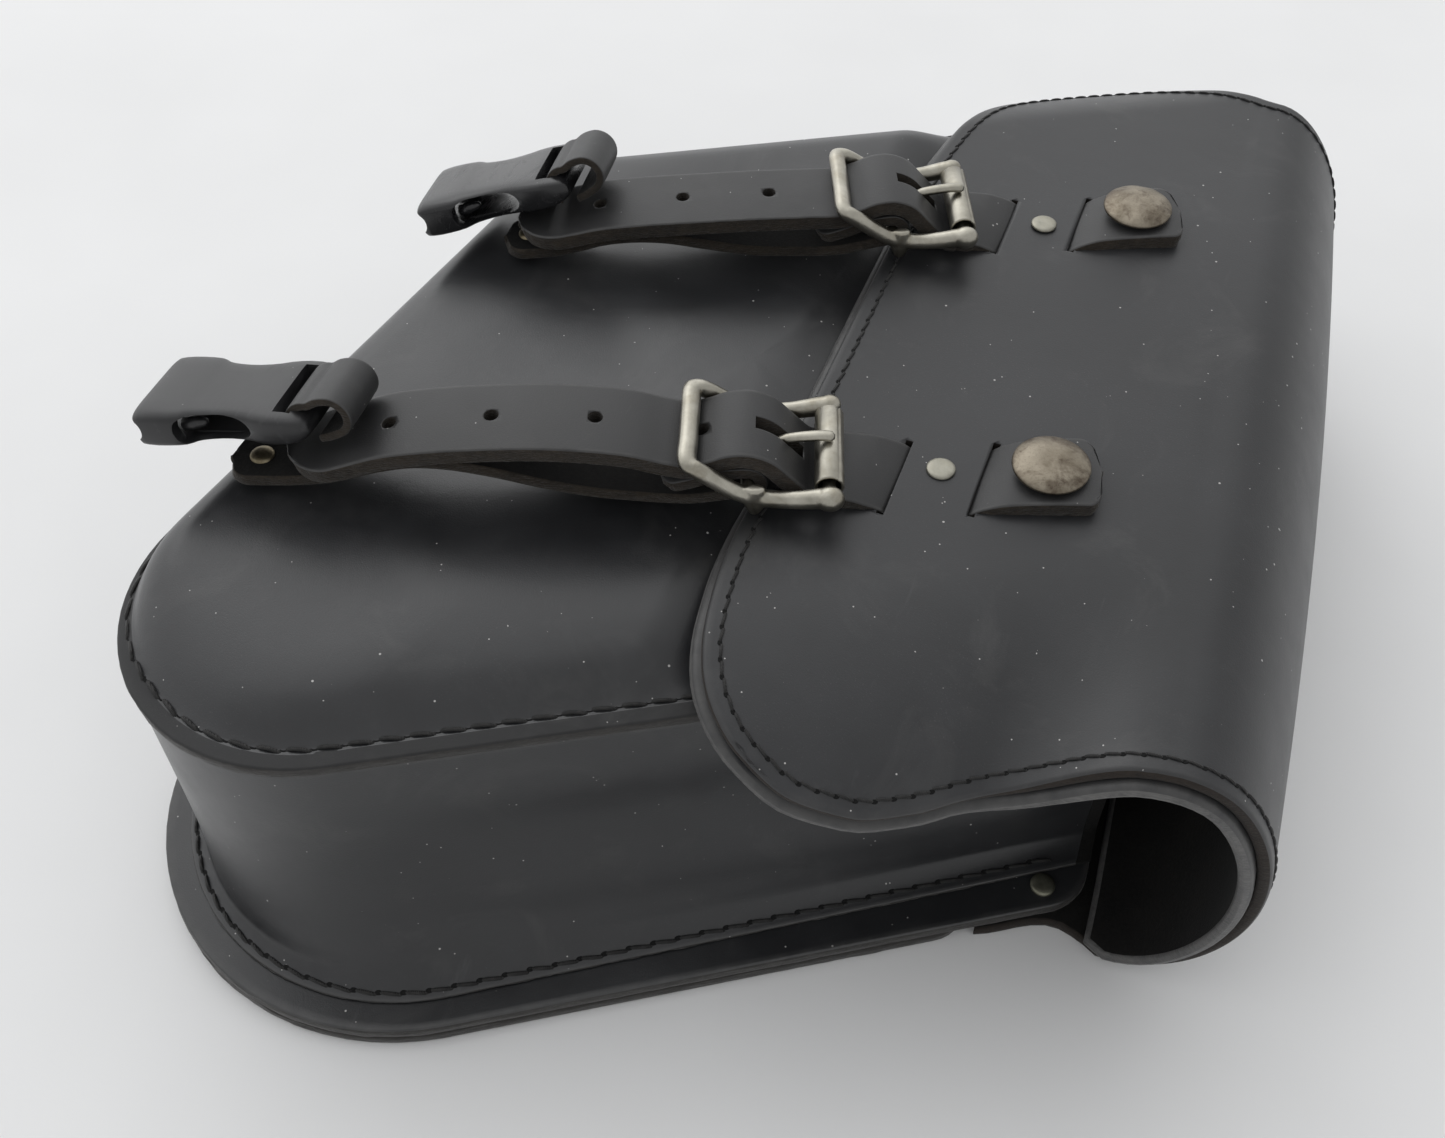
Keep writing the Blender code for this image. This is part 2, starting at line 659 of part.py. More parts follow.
# chape legs: (distance, z); the first two move with the buckle
CHAPE_UPPER = ((103, 122.0), (94, 125.0), (86, 128.3))
CHAPE_LOWER = ((87, 119.9), (96, 117.2), (108, 115.6))
CHAPE_TAB = {
    "near": ((122, 116.5), (136, 119.4), (148, 122.8), (160, 125.2), (170, 125.5),
             (180, 123.3), (188, 120.4), (195, 118.5), (203, 117.4), (211, 117.0),
             (215, 116.9), (219, 116.8), (222.0, 116.7)),
    "far": ((122, 116.2), (136, 118.8), (148, 121.2), (158, 121.7), (167, 120.8),
            (175, 118.6), (182, 117.0), (188, 116.4), (192, 116.2), (195.5, 116.1),
            (198.5, 116.0)),
}
TAB_RIVET_AT = {"near": 213.0, "far": 190.5}
TAB_RIVET_DROP = {"near": -0.25, "far": -0.95}


def chape_width(along, total):
    """Full width round the buckle, narrower along the lower leg, rounded ends."""
    width = CHAPE_W - (CHAPE_W - CHAPE_TAB_W) * smoothstep(44, 72, along)
    width *= end_taper((6.0 - along) / 6.0, 0.25)
    return width * end_taper((along - total + 7.0) / 7.0, 0.25)


def chape_mesh(side):
    """Upper leg, round the centre bar, long lower leg to the tab under the clip."""
    shift = BUCKLE_SHIFT[side]
    bend = arc_points(CENTRE_BAR_AT + shift, CENTRE_BAR_Z,
                      CENTRE_BAR_R + 0.4 + CHAPE_T / 2, 80, 280, 8)
    path = [*shifted(CHAPE_UPPER, shift), *bend, *shifted(CHAPE_LOWER, shift),
            *CHAPE_TAB[side]]
    tongue_slot = box(-87 - shift, -71 - shift, -2.4, 2.4, 118.5, 134)
    rivet_hole = cylinder(2.2, 12, (-TAB_RIVET_AT[side], 0, 117.0))
    return combine(strip(path, CHAPE_T, chape_width), [tongue_slot, rivet_hole])


def buckle_frame_mesh():
    """Cast frame: rails joined by the heel bar, centre bar and roller bar."""
    rails = [(-distance, -half, z) for distance, half, z in RAIL] + \
        [(-distance, half, z) for distance, half, z in reversed(RAIL)]
    return combine(
        wire(rails, RAIL_R),
        [cylinder(CENTRE_BAR_R, 31, (-CENTRE_BAR_AT, 0, CENTRE_BAR_Z), "Y"),
         cylinder(ROLLER_BAR_R, 33, (-ROLLER_AT, 0, ROLLER_Z), "Y"),
         ball(3.3, (-ROLLER_AT, -17.0, ROLLER_Z)),
         ball(3.3, (-ROLLER_AT, 17.0, ROLLER_Z))], "UNION")


def buckle_roller_mesh():
    centre = (-ROLLER_AT, 0, ROLLER_Z)
    return combine(cylinder(3.9, 26.4, centre, "Y", segments=20),
                   [cylinder(2.1, 30, centre, "Y", segments=16)])


def buckle_tongue_mesh():
    """Open ring round the centre bar, then the blade up over the roller."""
    ring = [(x, 0, z) for x, z in
            arc_points(-CENTRE_BAR_AT, CENTRE_BAR_Z, TONGUE_RING_R, 320, 100, 11)]
    return wire([*ring, *TONGUE_BLADE], TONGUE_R)


# ---------------------------------------------------------------- turned fittings
# profiles are (radius, z), top to bottom
CONCHO = ((0, 127.2), (3.5, 127.0), (6.5, 126.4), (9.0, 125.4), (10.3, 124.5),
          (10.5, 123.9), (10.3, 123.6), (2.5, 123.6), (2.5, 109.6), (0, 109.6))
CONCHO_NUT = ((0, 109.3), (5.5, 109.3), (5.8, 108.8), (5.5, 107.8), (0, 107.6))
STRAP_RIVET = ((0, 119.3), (3.2, 119.25), (4.0, 118.8), (4.0, 118.3), (1.4, 118.3),
               (1.4, 104.9), (0, 104.9))
TAB_RIVET = ((0, 120.6), (2.6, 120.5), (3.4, 119.9), (3.4, 119.4), (1.7, 119.4),
             (1.7, 113.5), (0, 113.5))
PLUG_RIVET = ((0, 4.6), (3.2, 4.5), (4.2, 3.9), (4.2, 3.1), (1.6, 3.1), (1.6, 0.7), (0, 0.7))
SIDE_RIVET = ((0, 10.0), (2.9, 9.9), (3.7, 9.2), (3.7, 8.5), (0, 8.5))
SIDE_RIVET_AT = {"near": (99.8, -80.6), "far": (66.0, 206.9)}

# ---------------------------------------------------------------- clip receiver
# clip bar of each set: distance, sideways, height; yaw, pitch, roll in degrees
CLIP_BAR = {"near": (195.2, 4.8, 135.0, -7.6, -8.5, -9.3),
            "far": (176.6, 7.0, 135.9, -7.5, -18.5, -10.5)}
# +Y half of the outline, from the bar end to the mouth
RECEIVER_HALF = [(2.3, 12.6), (0.0, 14.9), (-9.0, 15.2), (-15.0, 14.3), (-23.0, 13.4),
                 (-29.5, 13.8), (-32.5, 15.3), (-46.8, 15.3)]
RECEIVER_SLOT = [(-2.2, -11.4), (-2.2, 11.4), (-7.0, 11.4), (-7.0, -11.4)]


def clip_loop_mesh():
    """Leather loop round the clip's bar, as a flat tube; bar axis at the origin, the
    loop reaching towards +x."""
    path = [(-3.2, -4.9), (-5.2, -4.6), *arc_points(-7.4, 1.6, 5.2, 255, 100, 8),
            (-4.8, 6.45), *arc_points(-1.0, 0.0, 5.3, 100, -60, 9)]
    return strip(path, 2.3, 20.0)


def clip_receiver_mesh():
    """Receiver of the clip; bar axis at the origin, mouth towards -x."""
    outline = mirrored(RECEIVER_HALF[:1]) + RECEIVER_HALF + mirrored(RECEIVER_HALF[1:])
    return combine(plate([outline, RECEIVER_SLOT], -5.4, 5.4),
                   [box(-48, -12.5, -12.0, 12.0, -3.4, 3.4),      # cavity
                    box(-35.5, -16.0, -18, 18, -3.4, 3.4),        # side windows
                    box(-7.6, 4, -11.4, 11.4, 2.1, 8),            # thins the bar
                    box(-7.6, 4, -11.4, 11.4, -8, -2.1)])


# ---------------------------------------------------------------- clip plug
# Plug frame: x up the bottom wall, y along it, z out from it.
PLUG_Y = {"near": -88.0, "far": 22.0}
PLUG_BASE_Z = 17.5
PLUG_BAR_X = 28.0
PLUG_STRAP_MID = 1.6           # middle of the plug strap above the wall
PLUG_LOOP_R = 5.0
PLUG_RIVET_X = 10.5
# -Y half of the outline, from the bar end to the base of the middle prong's tip
PLUG_HALF = [(-2.4, -10.5), (6.0, -12.5), (11.0, -12.5), (12.0, -10.4), (22.0, -9.6),
             (23.0, -11.2), (31.0, -7.6), (32.0, -6.2), (29.5, -5.6), (22.0, -6.2),
             (13.5, -6.6), (13.5, -2.0), (29.0, -1.6)]
PLUG_TIP = (30.5, 0.0)
PLUG_SLOT = [(2.0, -9.2), (6.6, -9.2), (6.6, 9.2), (2.0, 9.2)]


def clip_plug_mesh():
    """Plug of the clip; bar axis near the origin, prongs towards +x."""
    outline = PLUG_HALF + [PLUG_TIP] + mirrored(PLUG_HALF)
    return plate([outline, PLUG_SLOT], -2.2, 2.2)


def plug_strap_mesh():
    """Short strap on the bottom wall: flat run, then round the plug's bar."""
    path = [(0, PLUG_STRAP_MID), (-8, PLUG_STRAP_MID), (-20, 1.7)]
    for degrees in range(20, 201, 30):
        angle = math.radians(degrees)
        path.append((-(PLUG_BAR_X + PLUG_LOOP_R * math.sin(angle)),
                     PLUG_STRAP_MID + PLUG_LOOP_R - PLUG_LOOP_R * math.cos(angle)))
    path += [(-23.2, 10.0), (-21.8, 5.8)]
    return combine(strip(path, 2.4, 17.4), [cylinder(1.9, 30, (PLUG_RIVET_X, 0, 0))])


def plug_frame(side):
    y = PLUG_Y[side]
    wall_x = FRONT_BOTTOM[0] * y + FRONT_BOTTOM[1]
    return Matrix(((0, BOTTOM_ACROSS, -BOTTOM_ALONG, (wall_x - 0.8) * MM),
                   (0, BOTTOM_ALONG, BOTTOM_ACROSS, y * MM),
                   (1, 0, 0, PLUG_BASE_Z * MM),
                   (0, 0, 0, 1)))


# ---------------------------------------------------------------- assembly
def build_strap_set(side):
    """One strap with its buckle, chape, fittings and clip receiver."""
    frame = strap_frame(side)
    buckle = frame @ moved(-BUCKLE_SHIFT[side], 0, 0)
    distance, sideways, height, yaw, pitch, roll = CLIP_BAR[side]
    clip = (frame @ moved(-distance, sideways, height) @ turned_by(yaw, "Z")
            @ turned_by(pitch, "Y") @ turned_by(roll, "X"))

    def put(name, mesh, look, world=frame, origin=None):
        """Add a piece, its origin moved to a joint given in the world frame passed."""
        if origin is not None:
            x, y, z = origin
            mesh.transform(moved(-x, -y, -z))
            world = world @ moved(x, y, z)
        mesh.materials.clear()
        add_object(f"{name}_{side}", mesh, look, world)

    put("strap", strap_mesh(side), LEATHER)
    put("billet", billet_mesh(side), LEATHER, origin=(-LIFT_AT, 0, LIFT_Z))
    put("concho", lathe(CONCHO, 24), BRASS)
    put("concho_nut", lathe(CONCHO_NUT, 16), NICKEL)
    put("strap_rivet", lathe(STRAP_RIVET, 16), NICKEL,
        frame @ moved(-STRAP_RIVET_AT, STRAP_RIVET_Y[side], 0))
    put("buckle_frame", buckle_frame_mesh(), NICKEL, buckle)
    put("buckle_roller", buckle_roller_mesh(), NICKEL, buckle,
        origin=(-ROLLER_AT, 0, ROLLER_Z))
    put("buckle_tongue", buckle_tongue_mesh(), NICKEL, buckle,
        origin=(-CENTRE_BAR_AT, 0, CENTRE_BAR_Z))
    put("chape", chape_mesh(side), LEATHER)
    put("tab_rivet", lathe(TAB_RIVET, 14), BRASS,
        frame @ moved(-TAB_RIVET_AT[side], 0, TAB_RIVET_DROP[side]))
    put("clip_loop", clip_loop_mesh(), LEATHER, clip)
    put("clip_receiver", clip_receiver_mesh(), PLASTIC, clip)


def build_plug_set(side):
    """Clip plug with its strap and rivet on the bottom wall."""
    frame = plug_frame(side)
    add_object(f"plug_strap_{side}", plug_strap_mesh(), LEATHER, frame)
    add_object(f"plug_rivet_{side}", lathe(PLUG_RIVET, 14), NICKEL,
               frame @ moved(PLUG_RIVET_X, 0, 0))
    add_object(f"clip_plug_{side}", clip_plug_mesh(), PLASTIC,
               frame @ moved(PLUG_BAR_X, 0, PLUG_STRAP_MID + PLUG_LOOP_R))


def build_side_rivet(side):
    """Rivet head just above the back panel, by its slanted edge."""
    add_object(f"side_rivet_{side}", lathe(SIDE_RIVET, 16), NICKEL,
               moved(*SIDE_RIVET_AT[side], 0))


build_front_panel()
build_gusset()
build_back()
build_lid()
for side_name in SIDES:
    build_strap_set(side_name)
    build_plug_set(side_name)
    build_side_rivet(side_name)
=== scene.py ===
"""Black leather bag with a rolled flap lid, two buckled straps and plastic side-release clips.

The bag lies on its back. +Z points up through the front panel and the lid. The mouth and
the roll of the lid are at +X, the bottom of the bag is at -X. "near" is the -Y side and
"far" is the +Y side. Lengths are mm until a mesh is made; Blender gets metres.
"""

import json
import math

import bmesh
import bpy
import numpy as np
from mathutils import Matrix, Vector

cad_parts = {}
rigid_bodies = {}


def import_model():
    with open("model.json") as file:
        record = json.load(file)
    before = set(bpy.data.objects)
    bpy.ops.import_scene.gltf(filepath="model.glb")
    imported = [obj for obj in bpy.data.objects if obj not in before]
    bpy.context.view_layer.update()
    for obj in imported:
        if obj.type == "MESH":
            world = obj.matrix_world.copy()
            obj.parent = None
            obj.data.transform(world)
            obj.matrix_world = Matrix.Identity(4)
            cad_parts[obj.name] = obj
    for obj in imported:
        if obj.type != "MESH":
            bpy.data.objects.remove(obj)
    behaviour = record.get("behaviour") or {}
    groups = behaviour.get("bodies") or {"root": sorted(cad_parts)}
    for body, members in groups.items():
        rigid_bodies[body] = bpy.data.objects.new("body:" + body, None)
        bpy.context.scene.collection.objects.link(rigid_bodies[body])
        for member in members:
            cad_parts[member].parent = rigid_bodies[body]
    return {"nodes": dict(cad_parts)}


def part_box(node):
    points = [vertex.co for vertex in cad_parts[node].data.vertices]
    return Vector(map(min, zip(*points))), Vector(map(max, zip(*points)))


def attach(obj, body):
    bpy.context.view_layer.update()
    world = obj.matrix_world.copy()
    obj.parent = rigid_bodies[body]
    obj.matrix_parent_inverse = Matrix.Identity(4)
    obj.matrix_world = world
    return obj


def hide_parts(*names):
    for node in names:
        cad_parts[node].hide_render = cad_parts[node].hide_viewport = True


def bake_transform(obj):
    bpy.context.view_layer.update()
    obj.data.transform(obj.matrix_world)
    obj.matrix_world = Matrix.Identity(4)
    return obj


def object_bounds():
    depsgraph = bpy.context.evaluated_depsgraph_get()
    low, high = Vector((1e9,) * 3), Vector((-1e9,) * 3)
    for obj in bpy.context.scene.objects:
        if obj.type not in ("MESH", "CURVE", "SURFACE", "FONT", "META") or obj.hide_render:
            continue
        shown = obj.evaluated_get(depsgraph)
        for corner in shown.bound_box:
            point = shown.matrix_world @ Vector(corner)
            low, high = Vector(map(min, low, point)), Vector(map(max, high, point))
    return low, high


for old_object in list(bpy.data.objects):
    bpy.data.objects.remove(old_object, do_unlink=True)

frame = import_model()
CAD_LOW, CAD_HIGH = [list(map(float, corner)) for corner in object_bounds()]
SCENE = bpy.context.scene
MM = 0.001
SIDES = ("near", "far")
UP = (0, 0, 1)


def cad_box(node):
    """Lowest and highest corner of a CAD node."""
    low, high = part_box(node)
    return np.array(low) * 1000, np.array(high) * 1000


# ============================ materials ============================
def rgba(colour):
    return colour if hasattr(colour, "is_output") else (*colour, 1.0)


class Shader:
    """Wires the nodes of a material or a world; inputs take a socket or a value."""

    def __init__(self, owner, output="ShaderNodeOutputMaterial"):
        owner.use_nodes = True
        self.owner = owner
        self.tree = owner.node_tree
        self.tree.nodes.clear()
        self.output = self.new(output)
        self.coordinates = self.new("ShaderNodeTexCoord").outputs
        self.position = self.coordinates["Object"]

    def plug(self, source, socket):
        if hasattr(source, "is_output"):
            self.tree.links.new(source, socket)
        else:
            socket.default_value = source

    def new(self, kind, inputs=None, **properties):
        node = self.tree.nodes.new(kind)
        for key, value in properties.items():
            setattr(node, key, value)
        for key, source in (inputs or {}).items():
            self.plug(source, node.inputs[key])
        return node

    def stretch(self, scale, turn=(0, 0, 0)):
        return self.new("ShaderNodeMapping", {"Vector": self.position, "Scale": scale,
                                              "Rotation": turn}).outputs["Vector"]

    def noise(self, scale, detail=2.0, rough=0.5, vector=None, distortion=0.0):
        return self.new("ShaderNodeTexNoise", {
            "Vector": self.position if vector is None else vector, "Scale": scale,
            "Detail": detail, "Roughness": rough, "Distortion": distortion}).outputs["Fac"]

    def voronoi(self, scale, feature="F1"):
        return self.new("ShaderNodeTexVoronoi", {"Vector": self.position, "Scale": scale},
                        feature=feature).outputs["Distance"]

    def math(self, operation, first, second, clamp=False):
        return self.new("ShaderNodeMath", {0: first, 1: second}, operation=operation,
                        use_clamp=clamp).outputs[0]

    def add(self, first, second, clamp=False):
        return self.math("ADD", first, second, clamp)

    def mul(self, first, second):
        return self.math("MULTIPLY", first, second)

    def centred(self, value, amount):
        """A 0..1 value made to swing about zero."""
        return self.mul(self.math("SUBTRACT", value, 0.5), amount)

    def weighted(self, *pairs):
        """Sum of (value, weight) pairs."""
        total = self.mul(*pairs[0])
        for value, weight in pairs[1:]:
            total = self.add(total, self.mul(value, weight))
        return total

    def ramp(self, value, start, end, low=0.0, high=1.0, **properties):
        return self.new("ShaderNodeMapRange", {
            "Value": value, "From Min": start, "From Max": end, "To Min": low,
            "To Max": high}, **properties).outputs["Result"]

    def mix(self, factor, first, second):
        return self.new("ShaderNodeMix", {0: factor, 6: rgba(first), 7: rgba(second)},
                        data_type="RGBA").outputs[2]

    def stain(self, colour, mask, amount, tint):
        """The colour, changed to a tint by an amount where the mask is set."""
        return self.mix(self.mul(mask, amount), colour, tint)

    def specks(self, scale, inner, outer, chosen):
        """Round dots fading between two radii, kept where chosen is set."""
        dots = self.ramp(self.voronoi(scale), start=inner, end=outer, low=1.0, high=0.0)
        return self.mul(dots, chosen)

    def bump(self, height, strength, distance, normal=None):
        inputs = {"Strength": strength, "Distance": distance, "Height": height}
        if normal is not None:
            inputs["Normal"] = normal
        return self.new("ShaderNodeBump", inputs).outputs["Normal"]

    def finish(self, colour, rough, normal, metal=0.0, specular=0.5, sheen=0.0):
        surface = self.new("ShaderNodeBsdfPrincipled", {
            "Base Color": rgba(colour), "Roughness": rough, "Metallic": metal,
            "Specular IOR Level": specular, "Sheen Weight": sheen,
            "Coat Roughness": 0.2, "Normal": normal})
        self.plug(surface.outputs[0], self.output.inputs["Surface"])
        return self.owner


def new_shader(name):
    return Shader(bpy.data.materials.new(name))


def leather(name, dark, light, rough, dust, grain=0.10, specular=0.5):
    """Smooth leather with fine pores, faint scuffs, dust and rubbed edges."""
    shader = new_shader(name)
    broad = shader.noise(scale=11, detail=3, rough=0.55)
    medium = shader.noise(scale=70, detail=3, rough=0.6)
    mottle = shader.ramp(shader.weighted((broad, 0.7), (medium, 0.3)), start=0.35, end=0.65)
    colour = shader.mix(mottle, dark, light)
    # long scuffs and smudges
    streaks = shader.noise(scale=1.0, detail=4, rough=0.65, distortion=0.4,
                           vector=shader.stretch(scale=(160, 22, 90), turn=(0.3, 0.2, 0.9)))
    scuff = shader.ramp(streaks, start=0.66, end=0.80)
    colour = shader.stain(colour, scuff, amount=0.22, tint=(0.09, 0.09, 0.092))
    smudge = shader.noise(scale=34, detail=5, rough=0.66, distortion=0.7)
    smudge = shader.ramp(smudge, start=0.54, end=0.76)
    colour = shader.stain(colour, smudge, amount=0.10 * dust, tint=(0.085, 0.083, 0.080))
    # settled dust, denser in patches, and separate light specks
    patch = shader.ramp(shader.noise(scale=22, detail=3, rough=0.6), start=0.42, end=0.75)
    fine = shader.ramp(shader.noise(scale=2400, detail=2, rough=0.7), start=0.62, end=0.78)
    colour = shader.stain(colour, shader.mul(patch, fine), amount=0.10 * dust,
                          tint=(0.30, 0.29, 0.28))
    for scale, radius, threshold in ((170, 0.060, 0.60), (330, 0.080, 0.62)):
        chosen = shader.ramp(shader.noise(scale * 0.61, detail=0, rough=0),
                             start=threshold, end=threshold + 0.005)
        dots = shader.specks(scale, inner=radius * 0.55, outer=radius, chosen=chosen)
        colour = shader.stain(colour, dots, amount=0.8 * dust, tint=(0.42, 0.41, 0.40))
    marked = shader.new("ShaderNodeAttribute", attribute_name="wear").outputs["Fac"]
    uneven = shader.ramp(shader.noise(scale=160, detail=3, rough=0.6),
                         start=0.30, end=0.70, low=0.25)
    colour = shader.stain(colour, shader.mul(marked, uneven), amount=0.75,
                          tint=(0.055, 0.054, 0.053))
    # pores and creases
    cells = shader.ramp(shader.voronoi(1250, "DISTANCE_TO_EDGE"), start=0.0, end=0.16)
    pores = shader.ramp(shader.voronoi(620), start=0.05, end=0.22)
    height = shader.weighted((cells, 0.30), (pores, 0.45),
                             (shader.noise(scale=1900, detail=3, rough=0.6), 0.5))
    normal = shader.bump(height, strength=grain, distance=0.0004)
    normal = shader.bump(shader.noise(scale=46, detail=3, rough=0.5), strength=0.10,
                         distance=0.0016, normal=normal)
    roughness = shader.add(rough, shader.centred(medium, 0.14))
    roughness = shader.add(roughness, shader.mul(scuff, 0.10))
    roughness = shader.add(roughness, shader.mul(patch, 0.04), clamp=True)
    return shader.finish(colour, roughness, normal, specular=specular, sheen=0.03)


def cut_edge(name, dark, light, rough, fibre, bump, sheen):
    """Cut leather edge: packed fibres running round the sheet, dye taken unevenly."""
    shader = new_shader(name)
    grain = shader.noise(scale=420, detail=4, rough=0.7)
    fibres = shader.noise(scale=1.0, detail=3, rough=0.6,
                          vector=shader.stretch(scale=(500, 500, 2600)))
    broad = shader.noise(scale=60, detail=3, rough=0.6)
    mottle = shader.weighted((grain, 0.35), (fibres, 0.35), (broad, 0.30))
    colour = shader.mix(shader.ramp(mottle, start=0.36, end=0.64), dark, light)
    stray = shader.ramp(shader.noise(scale=1500, detail=2, rough=0.8), start=0.70, end=0.80)
    colour = shader.stain(colour, stray, amount=fibre * 0.5,
                          tint=tuple(min(1, channel * 3.2) for channel in light))
    normal = shader.bump(shader.add(grain, shader.mul(fibres, 0.8)), strength=bump,
                         distance=0.0006)
    roughness = shader.ramp(broad, start=0.3, end=0.7, low=rough - 0.08,
                            high=min(1, rough + 0.08))
    return shader.finish(colour, roughness, normal, specular=0.35, sheen=sheen)


def flesh_side_and_painted_shade(name, dark, light):
    """Rough inner side of the leather, painted near black: its own dark dye deepened into
    painted shade for the inside of the roll.
    """
    shader = new_shader(name)
    nap = shader.noise(scale=900, detail=4, rough=0.75)
    broad = shader.noise(scale=35, detail=3, rough=0.6)
    mottle = shader.ramp(shader.weighted((nap, 0.5), (broad, 0.5)), start=0.38, end=0.62)
    colour = shader.mix(mottle, dark, light)
    normal = shader.bump(nap, strength=0.5, distance=0.0005)
    return shader.finish(colour, 0.90, normal, specular=0.18, sheen=0.04)


def metal(name, dark, light, rough, tarnish, amount, scale, brush):
    """Plated or patinated metal with uneven polish."""
    shader = new_shader(name)
    cloud = shader.noise(scale, detail=4, rough=0.62, distortion=0.3)
    fine = shader.noise(scale * 9, detail=3, rough=0.6)
    colour = shader.mix(shader.ramp(cloud, start=0.34, end=0.66), dark, light)
    spots = shader.noise(scale * 0.6, detail=5, rough=0.68, distortion=0.6)
    spots = shader.ramp(spots, start=0.50, end=0.66)
    flecks = shader.mul(shader.ramp(fine, start=0.52, end=0.72), 0.35)
    colour = shader.stain(colour, shader.add(spots, flecks, clamp=True), amount, tarnish)
    scratches = shader.noise(scale=1.0, detail=3, rough=0.6,
                             vector=shader.stretch(scale=(300, 2600, 900), turn=(0, 0, 0.6)))
    scratches = shader.ramp(scratches, start=0.60, end=0.78)
    roughness = shader.add(rough, shader.centred(cloud, 0.25))
    roughness = shader.add(roughness, shader.mul(scratches, 0.12), clamp=True)
    normal = shader.bump(shader.weighted((fine, 0.6), (scratches, 0.3)), strength=brush,
                         distance=0.0003)
    return shader.finish(colour, roughness, normal, metal=1.0)


def plastic(name, base, rough, scuffed):
    """Moulded black plastic: fine texture, rubbed grey where it is handled."""
    shader = new_shader(name)
    cloud = shader.noise(scale=55, detail=4, rough=0.6)
    fine = shader.noise(scale=2300, detail=2, rough=0.6)
    scuff = shader.noise(scale=1.0, detail=4, rough=0.7, distortion=0.5,
                         vector=shader.stretch(scale=(260, 60, 240), turn=(0, 0, 0.4)))
    scuff = shader.ramp(scuff, start=0.56, end=0.76)
    colour = shader.stain(base, scuff, amount=scuffed * 0.55, tint=(0.085, 0.085, 0.087))
    colour = shader.stain(colour, shader.ramp(cloud, start=0.45, end=0.75),
                          amount=scuffed * 0.22, tint=(0.07, 0.07, 0.072))
    chosen = shader.ramp(shader.noise(scale=120, detail=0), start=0.60, end=0.61)
    dots = shader.specks(scale=300, inner=0.03, outer=0.06, chosen=chosen)
    colour = shader.stain(colour, dots, amount=0.6, tint=(0.35, 0.35, 0.34))
    roughness = shader.add(rough, shader.mul(scuff, 0.22))
    roughness = shader.add(roughness, shader.centred(cloud, 0.15), clamp=True)
    normal = shader.bump(shader.add(fine, shader.mul(scuff, 0.4)), strength=0.10,
                         distance=0.0003)
    return shader.finish(colour, roughness, normal)


def thread(name, dark, light):
    """Waxed thread, twisted."""
    shader = new_shader(name)
    mottle = shader.noise(scale=700, detail=3, rough=0.6)
    twist = shader.new("ShaderNodeTexWave", {"Vector": shader.position, "Scale": 900,
                                             "Distortion": 1.5},
                       wave_type="BANDS", bands_direction="DIAGONAL")
    colour = shader.mix(shader.ramp(mottle, start=0.35, end=0.7), dark, light)
    normal = shader.bump(twist.outputs["Fac"], strength=0.5, distance=0.0003)
    return shader.finish(colour, 0.58, normal, specular=0.4, sheen=0.05)


BODY = leather("bag_leather", dark=(0.0112, 0.0115, 0.0128), light=(0.0215, 0.0220, 0.0240),
               rough=0.315, dust=2.1, specular=0.6)
# the band outside the front seam: duller, and darker as painted shade where the band should
# droop away from the light
BODY_RIM_PAINTED_SHADE = leather("bag_leather_rim_painted_shade", dark=(0.0085, 0.0085, 0.0090),
                   light=(0.0160, 0.0160, 0.0168), rough=0.52, dust=2.1, specular=0.35)
LID = leather("lid_leather", dark=(0.0122, 0.0125, 0.0138), light=(0.0235, 0.0240, 0.0262),
              rough=0.41, dust=2.4)
STRAP = leather("strap_leather", dark=(0.0135, 0.0135, 0.0142),
                light=(0.0250, 0.0248, 0.0252), rough=0.48, grain=0.14, dust=1.6)
EDGE_BODY = cut_edge("body_edge", dark=(0.013, 0.012, 0.011), light=(0.034, 0.031, 0.028),
                     rough=0.62, fibre=0.5, bump=0.35, sheen=0.15)
# brown cut edge of the lid's outer layer, darkened further as painted shade for the groove
# between the two layers
EDGE_LID_AND_GROOVE_SHADE = cut_edge("lid_edge", dark=(0.008, 0.006, 0.005), light=(0.026, 0.019, 0.014),
                    rough=0.80, fibre=0.4, bump=0.45, sheen=0.05)
EDGE_LINING = cut_edge("lining_edge", dark=(0.050, 0.050, 0.051),
                       light=(0.125, 0.122, 0.118), rough=0.44, fibre=0.6, bump=0.30,
                       sheen=0.05)
EDGE_STRAP = cut_edge("strap_edge", dark=(0.010, 0.008, 0.006), light=(0.040, 0.031, 0.022),
                      rough=0.92, fibre=1.0, bump=0.9, sheen=0.12)
# near-black flesh side: the leather's own dark flesh, darkened further as painted shade for the
# inside of the roll
FLESH_AND_PAINTED_SHADE = flesh_side_and_painted_shade("flesh_side_and_painted_shade", dark=(0.006, 0.006, 0.006), light=(0.014, 0.013, 0.012))
NICKEL = metal("satin_nickel", dark=(0.31, 0.295, 0.25), light=(0.46, 0.44, 0.38),
               rough=0.33, tarnish=(0.22, 0.19, 0.135), amount=0.42, scale=120, brush=0.12)
RIVET = metal("rivet_nickel", dark=(0.27, 0.262, 0.22), light=(0.37, 0.358, 0.305),
              rough=0.46, tarnish=(0.34, 0.31, 0.24), amount=0.25, scale=300, brush=0.14)
RIVET_DULL = metal("rivet_dull", dark=(0.20, 0.20, 0.155), light=(0.30, 0.295, 0.235),
                   rough=0.55, tarnish=(0.12, 0.10, 0.07), amount=0.4, scale=300, brush=0.14)
BRASS = metal("antique_brass", dark=(0.17, 0.145, 0.11), light=(0.30, 0.265, 0.21),
              rough=0.44, tarnish=(0.070, 0.050, 0.037), amount=0.80, scale=150, brush=0.28)
SMALL_BRASS = metal("brass_rivet", dark=(0.15, 0.125, 0.08), light=(0.29, 0.25, 0.17),
                    rough=0.42, tarnish=(0.10, 0.08, 0.05), amount=0.5, scale=400, brush=0.15)
PLASTIC = plastic("clip_plastic_worn", base=(0.014, 0.014, 0.015), rough=0.36, scuffed=0.75)
